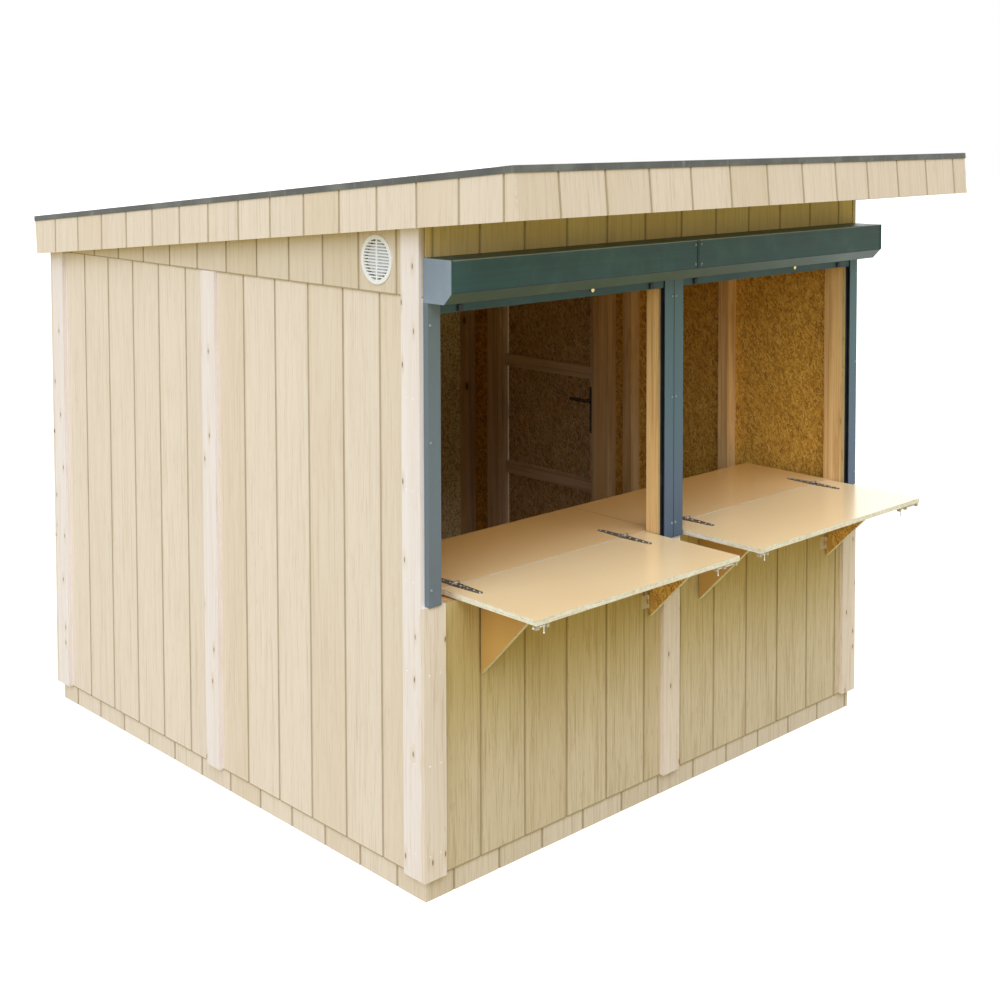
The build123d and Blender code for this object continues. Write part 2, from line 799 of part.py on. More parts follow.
brackets = []
bracket_leaves = []
for count, (x, way) in enumerate(bracket_places, start=1):
    with BuildPart() as bracket:
        with BuildSketch(Plane.YZ.offset(x - bracket_thick / 2)):
            with BuildLine():
                Polyline(
                    (bracket_back, bracket_top),
                    (bracket_back - bracket_leg, bracket_top),
                    (bracket_back, bracket_top - bracket_leg),
                    close=True,
                )
            make_face()
        extrude(amount=bracket_thick)
    bracket.part.label = f"bracket_{count}"
    brackets.append(bracket)

    face = x + way * bracket_thick / 2
    pin_x = face + way * 5
    with BuildPart() as leaf:
        for drop in leaf_rows:
            low = bracket_top - drop - leaf_height
            squared(
                sorted((face, face + way * leaf_thick)),
                (bracket_axis_y - 30, bracket_axis_y - 4.6),
                (low, low + leaf_height),
            )
            squared(
                sorted((face, face + way * leaf_thick)),
                (bracket_axis_y - 5, bracket_axis_y),
                (low + 17, low + 33),
            )
            with BuildSketch(Plane.XY.offset(low + 17)):
                with Locations((pin_x, bracket_axis_y)):
                    Circle(4)
            extrude(amount=16)
            with BuildSketch(Plane.XY.offset(low)):
                with Locations((pin_x, bracket_axis_y)):
                    Circle(2.2)
            extrude(amount=leaf_height, mode=Mode.SUBTRACT)
    leaf.part.label = f"bracket_leaf_{count}"
    bracket_leaves.append(leaf)

# Door leaf: grooved board with ledges and a latch stile on its inner side
leaf_y = (door_front + door_gap, door_back - door_gap)
leaf_z = (door_foot, doorway_height - door_gap)
ledge_x = (lining_right - ledge_thick, lining_right)
ledge_start = leaf_y[0] + 4
lever_y = leaf_y[0] + lever_inset - 6
door_axis = (face_right + 6, door_back - 2.5)

with BuildPart() as door_leaf:
    squared((lining_right, face_right), leaf_y, leaf_z)
    side_grooves(face_right, [y for y in wall_marks if leaf_y[0] < y < leaf_y[1]], -groove_depth)
    with BuildSketch(Plane.YZ.offset(lining_right)):
        with Locations((lever_y, lever_height)):
            Circle(spindle_radius + 2)
    extrude(amount=siding_thick, mode=Mode.SUBTRACT)
door_leaf.part.label = "door_leaf"

with BuildPart() as door_ledges:
    with BuildSketch(Plane.YZ.offset(ledge_x[0])):
        with Locations((ledge_start + latch_stile / 2, (leaf_z[0] + leaf_z[1]) / 2)):
            Rectangle(latch_stile, leaf_z[1] - leaf_z[0] - 10)
        for floor in (*low_ledges, leaf_z[1] - top_ledge_drop - ledge_height):
            with Locations(((ledge_start + leaf_y[1] - 6) / 2, floor + ledge_height / 2)):
                Rectangle(leaf_y[1] - 6 - ledge_start, ledge_height)
        with Locations((lever_y, lever_height)):
            Circle(spindle_radius + 2, mode=Mode.SUBTRACT)
    extrude(amount=ledge_thick)
door_ledges.part.label = "door_ledges"

# Lock plates on both faces of the door, and the lever handle on its spindle
plate_size = (30, 235)
plate_thick = 3

with BuildPart() as lock_plates:
    for x in (ledge_x[0] - plate_thick, face_right):
        with BuildSketch(Plane.YZ.offset(x)) as outline:
            with Locations((lever_y, lever_height - 51.5)):
                RectangleRounded(plate_size[0], plate_size[1], 6)
            with Locations((lever_y, lever_height)):
                Circle(spindle_radius + 0.3, mode=Mode.SUBTRACT)
        extrude(outline.sketch, amount=plate_thick)
lock_plates.part.label = "lock_plates"

with BuildPart() as door_lever:
    neck = 42
    inner_arm = ledge_x[0] - plate_thick - neck
    outer_arm = face_right + plate_thick + neck
    knuckle(inner_arm, outer_arm, lever_y, lever_height, spindle_radius)
    for start, end in (
        (inner_arm, ledge_x[0] - plate_thick - 0.3),
        (face_right + plate_thick + 0.3, outer_arm),
    ):
        knuckle(start, end, lever_y, lever_height, 9)
    for x in (inner_arm, outer_arm):
        with BuildSketch(Plane.XZ.offset(-lever_y)) as section:
            with Locations((x, lever_height)):
                Ellipse(7, 9)
        extrude(section.sketch, amount=-lever_reach)
    fillet(door_lever.edges().sort_by(Axis.Y)[-2:], radius=3)
door_lever.part.label = "door_lever"

# Door hinges: long straps on the outside of the leaf, turning on pins at the rear jamb
hinge_rows = (leaf_z[0] + 160, (leaf_z[0] + leaf_z[1]) / 2, leaf_z[1] - 160)
door_strap_length = 280

with BuildPart() as door_straps:
    for z in hinge_rows:
        with BuildSketch(Plane.YZ.offset(face_right)):
            with BuildLine():
                Polyline(
                    (door_axis[1] - 4, z - 17),
                    (door_axis[1] - 4, z + 17),
                    (door_axis[1] - door_strap_length, z + 9),
                    (door_axis[1] - door_strap_length, z - 9),
                    close=True,
                )
            make_face()
        extrude(amount=strap_thick)
        with BuildSketch(Plane.XY.offset(z - 11)):
            with Locations(door_axis):
                Circle(5)
            with Locations((face_right + 2.2, door_axis[1] - 4)):
                Rectangle(2.4, 8)
        extrude(amount=22)
        with BuildSketch(Plane.XY.offset(z - 20)):
            with Locations(door_axis):
                Circle(2.6)
        extrude(amount=40, mode=Mode.SUBTRACT)
door_straps.part.label = "door_straps"

# Fixed halves of every hinge: flap hinges on the worktop, bracket leaves and door plates
with BuildPart() as hinge_plates:
    for x in strap_places:
        strap_leaf(x, 1, [(-strap_root / 2, -barrel / 2), (barrel / 2, strap_root / 2)])
        knuckle(x - strap_root / 2, x + strap_root / 2, axis_y, axis_z, 2)
    for x, way in bracket_places:
        pin_x = x + way * (bracket_thick / 2 + 5)
        for drop in leaf_rows:
            low = bracket_top - drop - leaf_height
            squared(
                sorted((pin_x, pin_x + way * 32)),
                (face_front - leaf_thick, face_front),
                (low, low + leaf_height),
            )
            with BuildSketch(Plane.XY.offset(low)):
                with Locations((pin_x, bracket_axis_y)):
                    Circle(1.8)
            extrude(amount=leaf_height)
            for start in (low, low + 33.6):
                with BuildSketch(Plane.XY.offset(start)):
                    with Locations((pin_x, bracket_axis_y)):
                        Circle(4)
                    with Locations((pin_x + way * 1.5, bracket_axis_y + 3.5)):
                        Rectangle(3, 7)
                extrude(amount=16.4)
    for z in hinge_rows:
        squared(
            (face_right, face_right + strap_thick),
            (door_back + 3, door_back + 48),
            (z - 30, z + 30),
        )
        with BuildSketch(Plane.XY.offset(z - 30)):
            with Locations(door_axis):
                Circle(2.2)
        extrude(amount=60)
        for start in (z - 30, z + 11.5):
            with BuildSketch(Plane.XY.offset(start)):
                with Locations(door_axis):
                    Circle(5)
                with Locations((face_right + 1.4, door_axis[1] + 4.5)):
                    Rectangle(2, 9)
            extrude(amount=18.5)
hinge_plates.part.label = "hinge_plates"

# Round vent: flange on the siding, tube through the board, slats across and a centre bar
with BuildPart() as vent_grille:
    vent_face = left - siding_thick
    with BuildSketch(Plane.YZ.offset(vent_face)) as ring:
        with Locations((front + vent_from_front, vent_height)):
            Circle(vent_radius)
            Circle(vent_hole_radius - 4, mode=Mode.SUBTRACT)
    extrude(ring.sketch, amount=-4)
    with BuildSketch(Plane.YZ.offset(vent_face)) as tube:
        with Locations((front + vent_from_front, vent_height)):
            Circle(vent_hole_radius - 1)
            Circle(vent_hole_radius - 4, mode=Mode.SUBTRACT)
    extrude(tube.sketch, amount=siding_thick)
    slat_count = 13
    slat_pitch = 2 * (vent_hole_radius - 4) / slat_count
    with BuildSketch(Plane.YZ.offset(vent_face - 3)) as slats:
        with Locations((front + vent_from_front, vent_height)):
            with GridLocations(1, slat_pitch, 1, slat_count - 1):
                Rectangle(2 * vent_hole_radius, slat_pitch * 0.45)
            Rectangle(7, 2 * vent_hole_radius)
            Circle(vent_hole_radius - 3, mode=Mode.INTERSECT)
    extrude(slats.sketch, amount=siding_thick - 2)
vent_grille.part.label = "vent_grille"

pieces = [
    floor_frame, floor_deck, plinth_sides, plinth_ends, left_siding, left_gable, right_gable,
    right_siding, door_head_siding, back_siding, front_apron, front_header, front_facings,
    side_battens, end_battens, front_posts, front_rails, wall_plates, wall_studs, door_frame,
    roof_trimmers, rafters, roof_deck, fascia_sides, fascia_ends, soffit, roof_felt, edge_trims,
    shutter_boxes, guide_rails, shutter_slats, shutter_locks, worktops, worktop_bearers,
    flap_left, flap_right, flap_left_ironwork, flap_right_ironwork, *bolts, *brackets,
    *bracket_leaves, door_leaf, door_ledges, lock_plates, door_lever, door_straps, hinge_plates,
    vent_grille,
]

os.makedirs("parts", exist_ok=True)
for piece in pieces:
    export_step(piece.part, f"parts/{piece.part.label}.step")
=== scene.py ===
import math

import bmesh
import bpy
from mathutils import Matrix, Vector


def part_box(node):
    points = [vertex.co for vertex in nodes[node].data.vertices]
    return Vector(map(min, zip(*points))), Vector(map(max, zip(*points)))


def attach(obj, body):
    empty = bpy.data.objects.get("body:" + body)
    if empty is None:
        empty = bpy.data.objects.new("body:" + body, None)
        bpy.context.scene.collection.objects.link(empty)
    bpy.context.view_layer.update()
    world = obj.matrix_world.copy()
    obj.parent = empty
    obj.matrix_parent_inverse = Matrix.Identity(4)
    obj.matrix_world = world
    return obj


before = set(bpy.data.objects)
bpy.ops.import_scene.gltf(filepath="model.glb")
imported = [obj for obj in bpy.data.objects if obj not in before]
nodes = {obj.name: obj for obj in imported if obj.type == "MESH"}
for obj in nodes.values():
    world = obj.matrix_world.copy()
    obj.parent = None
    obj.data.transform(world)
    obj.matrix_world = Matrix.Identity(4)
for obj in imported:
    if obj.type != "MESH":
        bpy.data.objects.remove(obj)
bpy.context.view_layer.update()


# Floor frame: sawn softwood joists between two rims, nailed together on the ground.
# The timber is planed pine, pale with darker late-wood lines and a few knots.
class Value:
    """A shader socket that goes into sums like a number."""

    def __init__(self, finish, socket):
        self.finish = finish
        self.socket = socket

    def math(self, operation, *terms):
        links = dict(enumerate(terms))
        return self.finish.add("ShaderNodeMath", {"operation": operation}, links)[0]

    def __add__(self, other):
        return self.math("ADD", self, other)

    def __radd__(self, other):
        return self.math("ADD", other, self)

    def __sub__(self, other):
        return self.math("SUBTRACT", self, other)

    def __rsub__(self, other):
        return self.math("SUBTRACT", other, self)

    def __mul__(self, other):
        return self.math("MULTIPLY", self, other)

    def __rmul__(self, other):
        return self.math("MULTIPLY", other, self)

    def __truediv__(self, other):
        return self.math("DIVIDE", self, other)

    def __rtruediv__(self, other):
        return self.math("DIVIDE", other, self)

    def __mod__(self, other):
        return self.math("FLOORED_MODULO", self, other)

    def __floordiv__(self, other):
        return self.math("FLOOR", self / other)

    def __pow__(self, other):
        return self.math("POWER", self, other)

    def __abs__(self):
        return self.math("ABSOLUTE", self)

    def rising(self, low, high):
        """0 below low, 1 above high, smooth between."""
        settings = {"interpolation_type": "SMOOTHSTEP"}
        links = {0: self, 1: low, 2: high, 3: 0.0, 4: 1.0}
        return self.finish.add("ShaderNodeMapRange", settings, links)[0]


class Outputs:
    """What a node gives, by place or by name."""

    def __init__(self, finish, node):
        self.finish = finish
        self.node = node

    def __getitem__(self, which):
        return Value(self.finish, self.node.outputs[which])


class Finish:
    """One material of the stall, built up from shader nodes."""

    def __init__(self, name):
        self.material = bpy.data.materials.new(name)
        self.material.use_nodes = True
        self.tree = self.material.node_tree
        self.tree.nodes.clear()
        self.place = self.add("ShaderNodeTexCoord", {}, {})["Object"]
        parts = self.add("ShaderNodeSeparateXYZ", {}, {0: self.place})
        self.xyz = (parts[0], parts[1], parts[2])

    def add(self, kind, settings, links):
        node = self.tree.nodes.new(kind)
        for name, value in settings.items():
            if name == "stops":
                ramp = node.color_ramp
                while len(ramp.elements) < len(value):
                    ramp.elements.new(0.5)
                for element, (place, colour) in zip(ramp.elements, value):
                    element.position = place
                    element.color = (*colour, 1)
            else:
                setattr(node, name, value)
        for where, value in links.items():
            socket = node.inputs[where]
            if isinstance(value, Value):
                self.tree.links.new(value.socket, socket)
            elif isinstance(value, tuple) and len(value) == 3 and socket.type == "RGBA":
                socket.default_value = (*value, 1)
            else:
                socket.default_value = value
        return Outputs(self, node)

    def stretched(self, scale, turn=(0, 0, 0), shift=(0, 0, 0)):
        """The object's place, turned and then scaled, for a pattern that runs one way."""
        turned = self.add("ShaderNodeMapping", {}, {0: self.place, 1: shift, 2: turn})[0]
        return self.add("ShaderNodeVectorMath", {"operation": "MULTIPLY"}, {0: turned, 1: scale})[0]

    def noise(self, vector, scale=1.0, detail=4.0, rough=0.55, twist=0.0):
        links = {"Vector": vector, "Scale": scale, "Detail": detail}
        links.update({"Roughness": rough, "Distortion": twist})
        return self.add("ShaderNodeTexNoise", {}, links)[0]

    def tones(self, value, stops):
        return self.add("ShaderNodeValToRGB", {"stops": stops}, {0: value})[0]

    def mixed(self, share, first, second, way="MIX"):
        settings = {"data_type": "RGBA", "blend_type": way}
        return self.add("ShaderNodeMix", settings, {0: share, 6: first, 7: second})[2]

    def done(self, colour, roughness, height=None, depth=0.001, strength=1.0, **fixed):
        links = {"Base Color": colour, "Roughness": roughness}
        if height is not None:
            bump = {"Strength": strength, "Distance": depth, "Height": height}
            links["Normal"] = self.add("ShaderNodeBump", {}, bump)[0]
        links.update({name.replace("_", " "): value for name, value in fixed.items()})
        surface = self.add("ShaderNodeBsdfPrincipled", {}, links)[0]
        self.add("ShaderNodeOutputMaterial", {}, {0: surface})
        return self.material


def pine(name, along, pale, middle, dark, knots=0.035):
    """Planed softwood with its grain along one axis: 0, 1 or 2 for X, Y or Z."""
    finish = Finish(name)
    fine = [170.0, 170.0, 170.0]
    broad = [26.0, 26.0, 26.0]
    cell = [6.0, 6.0, 6.0]
    fine[along] = 2.2
    broad[along] = 0.7
    cell[along] = 3.2
    fibres = finish.noise(finish.stretched(fine), detail=6.0, rough=0.6)
    rings = finish.noise(finish.stretched(broad), detail=3.0, rough=0.5, twist=0.6)
    lines = abs(((rings * 7.0) % 1.0) - 0.5) * 2.0
    spots = finish.add("ShaderNodeTexVoronoi", {}, {"Vector": finish.stretched(cell), "Scale": 1.0})
    knot = 1.0 - spots["Distance"].rising(knots * 1.4, knots * 2.8)
    halo = 1.0 - spots["Distance"].rising(knots * 2, knots * 7)
    colour = finish.tones(rings * 0.6 + fibres * 0.4, [(0.3, dark), (0.5, middle), (0.72, pale)])
    colour = finish.mixed(lines.rising(0.72, 1.0) * 0.35, colour, dark)
    colour = finish.mixed(halo * 0.35, colour, dark)
    colour = finish.mixed(knot * 0.85, colour, tuple(c * 0.32 for c in dark))
    height = fibres * 0.6 + lines * 0.3 - knot * 0.4
    return finish.done(colour, 0.56 + fibres * 0.16, height, depth=0.0007, strength=0.5)


def islands(mesh):
    """The separate timbers of a node, each as the list of its faces."""
    owner = list(range(len(mesh.vertices)))

    def head(i):
        while owner[i] != i:
            owner[i] = owner[owner[i]]
            i = owner[i]
        return i

    at = {}
    for vertex in mesh.vertices:
        key = tuple(round(c, 5) for c in vertex.co)
        if key in at:
            owner[head(vertex.index)] = head(at[key])
        else:
            at[key] = vertex.index
    for edge in mesh.edges:
        owner[head(edge.vertices[0])] = head(edge.vertices[1])
    groups = {}
    for face in mesh.polygons:
        groups.setdefault(head(face.vertices[0]), []).append(face)
    return list(groups.values())


def grain_along(name, finishes):
    """Gives each separate timber of a node the finish whose grain runs along its length."""
    mesh = nodes[name].data
    mesh.materials.clear()
    for finish in finishes:
        mesh.materials.append(finish)
    for faces in islands(mesh):
        corners = [mesh.vertices[i].co for face in faces for i in face.vertices]
        spans = [max(c[k] for c in corners) - min(c[k] for c in corners) for k in range(3)]
        for face in faces:
            face.material_index = spans.index(max(spans))


pine_pale, pine_middle, pine_dark = (0.91, 0.65, 0.33), (0.80, 0.53, 0.235), (0.49, 0.26, 0.085)
pine_finishes = [
    pine("planed pine along " + "XYZ"[k], k, pine_pale, pine_middle, pine_dark) for k in range(3)
]
grain_along("floor_frame", pine_finishes)


# Floor deck: strand board, wide wood flakes pressed flat in golden and brown layers.
# The sheets are nailed down on the joists with the raw face up.
def tinted(stops, tint, most=1.0):
    """Colour stops with each colour multiplied by a tint, none brighter than most."""
    return [(at, tuple(min(a * b, most) for a, b in zip(c, tint))) for at, c in stops]


def strand_board(name, tint=(1.0, 1.0, 1.0)):
    finish = Finish(name)
    layers = []
    for turn, scale, shift in (
        ((0.10, 0.05, 0.7), (260.0, 260.0, 46.0), (0.0, 0.0, 0.0)),
        ((0.75, 0.30, 0.4), (300.0, 300.0, 60.0), (3.1, 1.7, 0.4)),
        ((-0.8, -0.65, 0.2), (280.0, 280.0, 54.0), (1.3, 5.2, 2.9)),
    ):
        flakes = finish.add(
            "ShaderNodeTexVoronoi",
            {"distance": "EUCLIDEAN"},
            {"Vector": finish.stretched(scale, turn, shift), "Scale": 0.50},
        )
        shade = finish.add("ShaderNodeSeparateColor", {}, {0: flakes["Color"]})[0]
        layers.append((shade, flakes["Distance"]))
    choose = finish.noise(finish.stretched((95.0, 95.0, 70.0)), detail=2.0)
    first = choose.rising(0.43, 0.47)
    second = choose.rising(0.53, 0.57)
    shares = (1.0 - first, first - second * first, second)
    shade, gap = (
        layers[0][k] * shares[0] + layers[1][k] * shares[1] + layers[2][k] * shares[2]
        for k in range(2)
    )
    cloud = finish.noise(finish.stretched((9.0, 9.0, 9.0)), detail=3.0)
    stops = [
        (0.0, (0.22, 0.10, 0.018)),
        (0.25, (0.44, 0.235, 0.048)),
        (0.55, (0.66, 0.385, 0.085)),
        (0.85, (0.80, 0.53, 0.16)),
        (1.0, (0.88, 0.68, 0.32)),
    ]
    colour = finish.tones(shade * 0.8 + cloud * 0.2, tinted(stops, tint, most=0.9))
    colour = finish.mixed(gap.rising(0.55, 0.95) * 0.28, colour, (0.24, 0.12, 0.02))
    height = shade * 0.6 - gap * 0.4
    return finish.done(colour, 0.6 + shade * 0.14, height, depth=0.0010, strength=0.6)


def coat(name, finish):
    mesh = nodes[name].data
    mesh.materials.clear()
    mesh.materials.append(finish)


raw_board = strand_board("strand board")
coat("floor_deck", raw_board)


# Plinth boards: strips of the grooved siding nailed round the floor frame.
# The siding is pressed board with an embossed cedar grain, painted cream, with painted shade in its
# grooves.
groove_pitch = 0.2032
groove_half = 0.00475
siding_cream = (0.765, 0.676, 0.618)
siding_shadow = (0.33, 0.25, 0.135)


def painted_siding(name, across, first, tint=(1.0, 1.0, 1.0), foot=None, wear=1.0, shaded_between=None):
    """Cream siding, grooved across one axis from a first groove on, with a painted shadow at its
    foot.

    The tint, and a yellowing that rises between two heights, paint in how the photograph lights
    that wall. They aren't the paint's own colour: under other light, leave both out.
    """
    finish = Finish(name)
    along = finish.xyz[across]
    offset = (along - (first - groove_pitch / 2)) % groove_pitch
    groove = 1.0 - abs(offset - groove_pitch / 2).rising(groove_half * 0.75, groove_half * 1.15)
    lip = 1.0 - abs(offset - groove_pitch / 2).rising(groove_half * 1.2, groove_half * 2.6)
    count = (along - first) // groove_pitch
    board = finish.add("ShaderNodeTexWhiteNoise", {"noise_dimensions": "1D"}, {"W": count})[0]
    fine_scale = [3.0, 3.0, 3.0]
    streak_scale = [2.0, 2.0, 2.0]
    broad_scale = [2.0, 2.0, 2.0]
    fine_scale[across], streak_scale[across], broad_scale[across] = 420.0, 105.0, 42.0
    fine_scale[2], streak_scale[2], broad_scale[2] = 6.5, 2.6, 1.5
    grain = finish.noise(finish.stretched(tuple(fine_scale)), detail=5.0, rough=0.62)
    streak = finish.noise(finish.stretched(tuple(streak_scale)), detail=5.0, rough=0.66, twist=0.25)
    figure = finish.noise(finish.stretched(tuple(broad_scale)), detail=4.0, rough=0.55, twist=0.45)
    loops = abs(((figure * 6.0) % 1.0) - 0.5) * 2.0
    stain = finish.noise(finish.stretched((2.6, 2.6, 1.2)), detail=3.0)
    tone = board * 0.34 + stain * 0.3 + figure * 0.36
    pale = tuple(c * t for c, t in zip(siding_cream, tint))
    warm = tuple(c * t * s for c, t, s in zip(siding_cream, tint, (0.955, 0.93, 0.87)))
    light = tuple(min(c * t * 1.05, 0.9) for c, t in zip(siding_cream, tint))
    colour = finish.tones(tone, [(0.3, warm), (0.5, pale), (0.74, light)])
    worn = tuple(c * s for c, s in zip(warm, (0.74, 0.69, 0.60)))
    colour = finish.mixed(grain.rising(0.5, 0.72) * (0.38 * wear), colour, worn)
    colour = finish.mixed(streak.rising(0.5, 0.72) * (0.42 * wear), colour, worn)
    colour = finish.mixed(loops.rising(0.78, 1.0) * (0.25 * wear), colour, worn)
    # Painted shade in the grooves and along their edges.
    colour = finish.mixed(lip * 0.12, colour, siding_shadow)
    colour = finish.mixed(groove * 0.72, colour, siding_shadow)
    # Painted shadow along the board's foot.
    if foot is not None:
        lap = 1.0 - (finish.xyz[2] - foot).rising(0.003, 0.0055)
        colour = finish.mixed(lap * 0.8, colour, siding_shadow)
    # Painted shade: a yellow-olive cast that rises between two heights.
    if shaded_between is not None:
        share = finish.xyz[2].rising(*shaded_between)
        colour = finish.mixed(share, colour, (0.87, 0.81, 0.53), "MULTIPLY")
    height = grain * 0.4 + streak * 0.3 + loops * 0.2 + figure * 0.1
    gloss = 0.66 + grain * 0.12
    return finish.done(
        colour, gloss, height, depth=0.0009, strength=0.55, Specular_IOR_Level=0.35
    )


def two_faced(name, inside, normal, finish, back_finish):
    """A board with one finish, and another on the face whose normal points one way."""
    mesh = nodes[name].data
    mesh.materials.clear()
    mesh.materials.append(finish)
    mesh.materials.append(back_finish)
    way = Vector(normal)
    for face in mesh.polygons:
        deep = face.center.dot(way)
        if face.normal.dot(way) > 0.9 and abs(deep - inside) < 0.002:
            face.material_index = 1
        else:
            face.material_index = 0


plinth_front, plinth_left = -1.255, -1.188
plinth_side_paint = painted_siding(
    "plinth paint, sides", 1, plinth_front + 0.150, (1.0, 1.0, 0.99)
)
# The end plinths' tint is painted shade: darker and yellower than the sides.
plinth_end_paint = painted_siding(
    "plinth paint, ends", 0, plinth_left + 0.1202, (0.90, 0.89, 0.82), wear=1.5
)
coat("plinth_sides", plinth_side_paint)
coat("plinth_ends", plinth_end_paint)


# Wall timbers: posts, rails, plates and studs of planed pine, nailed up as frames.
# They stay bare inside the stall, so the grain shows through the hatches. The rear studs are
# tinted browner than their own pine, as the photograph's light shows them.
for name in ("front_posts", "front_rails", "wall_plates", "wall_studs"):
    grain_along(name, pine_finishes)
# A browner copy of the pine: painted shade on the rear studs and the door's inside timbers.
brown_pale, brown_middle, brown_dark = (0.80, 0.62, 0.42), (0.68, 0.50, 0.32), (0.40, 0.25, 0.14)
shaded_pine = [
    pine("browned pine along " + "XYZ"[k], k, brown_pale, brown_middle, brown_dark)
    for k in range(3)
]
rear_bay_from = 0.2
mesh = nodes["wall_studs"].data
for finish in shaded_pine:
    mesh.materials.append(finish)
for face in mesh.polygons:
    if face.center.y > rear_bay_from:
        face.material_index += len(pine_finishes)


# Wall siding: full sheets of the grooved board, nailed to the studs with the painted face outwards.
# Their backs are the raw strands of the board, whose tints again follow the photograph's light.
siding_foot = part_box("left_siding")[0].z
gable_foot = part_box("left_gable")[0].z
siding_thick = 0.011
siding_proud = 0.0055
side_lining = -plinth_left + siding_proud - siding_thick
end_lining = -plinth_front + siding_proud - siding_thick
side_paint = painted_siding("wall paint, sides", 1, plinth_front + 0.219, foot=siding_foot)
# The gables' tint is painted shade under the eave.
gable_paint = painted_siding(
    "gable paint", 1, plinth_front + 0.1217, (0.90, 0.89, 0.84), foot=gable_foot
)
# The back and apron tint is painted shade: darker and yellower than the side walls.
end_wall = {"tint": (0.83, 0.805, 0.66), "foot": siding_foot, "wear": 2.4}
end_groove = plinth_left + 0.2358
back_paint = painted_siding("wall paint, back", 0, end_groove, **end_wall)
# The apron, and the facings that share its paint, get painted shade rising towards the flaps.
apron_paint = painted_siding("apron paint", 0, end_groove, shaded_between=(0.25, 0.80), **end_wall)
# The header's tint is painted shade under the eave, with a strong yellow cast.
header_paint = painted_siding(
    "header paint", 0, plinth_left + 0.2387, (1.17, 1.07, 0.64), wear=1.3
)
# These three tints are painted light and shade: darker and yellower on the wall backs, paler and
# greyer on the back wall, darker and greyer on the door back.
dark_board = strand_board("strand board, wall backs", (1.0, 0.93, 0.60))
pale_board = strand_board("strand board, back wall", (1.35, 1.9, 4.2))
door_board = strand_board("strand board, door back", (0.84, 0.95, 1.7))
two_faced("left_siding", -side_lining, (1, 0, 0), side_paint, dark_board)
two_faced("right_siding", -side_lining, (-1, 0, 0), side_paint, dark_board)
two_faced("door_head_siding", -side_lining, (-1, 0, 0), side_paint, dark_board)
two_faced("left_gable", plinth_left, (1, 0, 0), gable_paint, dark_board)
two_faced("right_gable", plinth_left, (-1, 0, 0), gable_paint, dark_board)
two_faced("back_siding", -end_lining, (0, -1, 0), back_paint, pale_board)
two_faced("front_apron", -end_lining, (0, 1, 0), apron_paint, dark_board)
two_faced("front_header", -end_lining, (0, 1, 0), header_paint, dark_board)
coat("front_facings", apron_paint)


# Battens: sawn pine strips over the corners and sheet joints, painted thinly in off-white,
# so small knots and grain show through. They are fixed with small nails in pairs.
batten_white = (0.835, 0.780, 0.775)


def thin_paint(name, through, tint, wear=1.0):
    """Thin white paint on boards that lie flat against one axis, so the knots show on that face.

    The tint follows how the photograph lights that side of the stall.
    """
    finish = Finish(name)
    width = finish.xyz[1 - through] * 19.0 + finish.xyz[through].rising(-0.1, 0.1) * 3.7
    patch = finish.add("ShaderNodeCombineXYZ", {}, {0: width, 1: finish.xyz[2] * 6.0})[0]
    fibres = finish.noise(finish.stretched((210.0, 210.0, 3.2)), detail=6.0, rough=0.62)
    figure = finish.noise(finish.stretched((30.0, 30.0, 1.0)), detail=3.0, twist=0.5)
    lines = abs(((figure * 6.0) % 1.0) - 0.5) * 2.0
    spots = finish.add(
        "ShaderNodeTexVoronoi", {"voronoi_dimensions": "2D"}, {"Vector": patch, "Scale": 1.0}
    )
    rare = finish.add("ShaderNodeSeparateColor", {}, {0: spots["Color"]})[0].rising(0.55, 0.60)
    knot = (1.0 - spots["Distance"].rising(0.03, 0.085)) * rare
    ring = (1.0 - spots["Distance"].rising(0.08, 0.30)) * rare
    streak = finish.noise(finish.stretched((95.0, 95.0, 2.0)), detail=5.0, rough=0.65)
    stops = [(0.3, (0.77, 0.69, 0.65)), (0.52, batten_white), (0.75, (0.88, 0.84, 0.84))]
    colour = finish.tones(figure * 0.55 + fibres * 0.45, tinted(stops, tint))
    streak_tone = tuple(a * b for a, b in zip((0.66, 0.55, 0.45), tint))
    line_tone = tuple(a * b for a, b in zip((0.68, 0.56, 0.45), tint))
    colour = finish.mixed(streak.rising(0.52, 0.74) * (0.45 * wear), colour, streak_tone)
    colour = finish.mixed(lines.rising(0.74, 1.0) * (0.28 * wear), colour, line_tone)
    colour = finish.mixed(ring * 0.40, colour, (0.66, 0.52, 0.39))
    colour = finish.mixed(knot * 0.9, colour, (0.16, 0.10, 0.07))
    height = fibres * 0.6 + lines * 0.3 - knot * 0.5
    return finish.done(colour, 0.62 + fibres * 0.14, height, depth=0.001, strength=0.5)


side_batten_paint = thin_paint("thin white paint on side battens", 0, (0.98, 0.97, 1.02))
# The end battens' tint is painted shade: darker and yellower than the side battens.
end_batten_paint = thin_paint(
    "thin white paint on end battens", 1, (0.92, 0.87, 0.81), wear=1.9
)
coat("side_battens", side_batten_paint)
coat("end_battens", end_batten_paint)


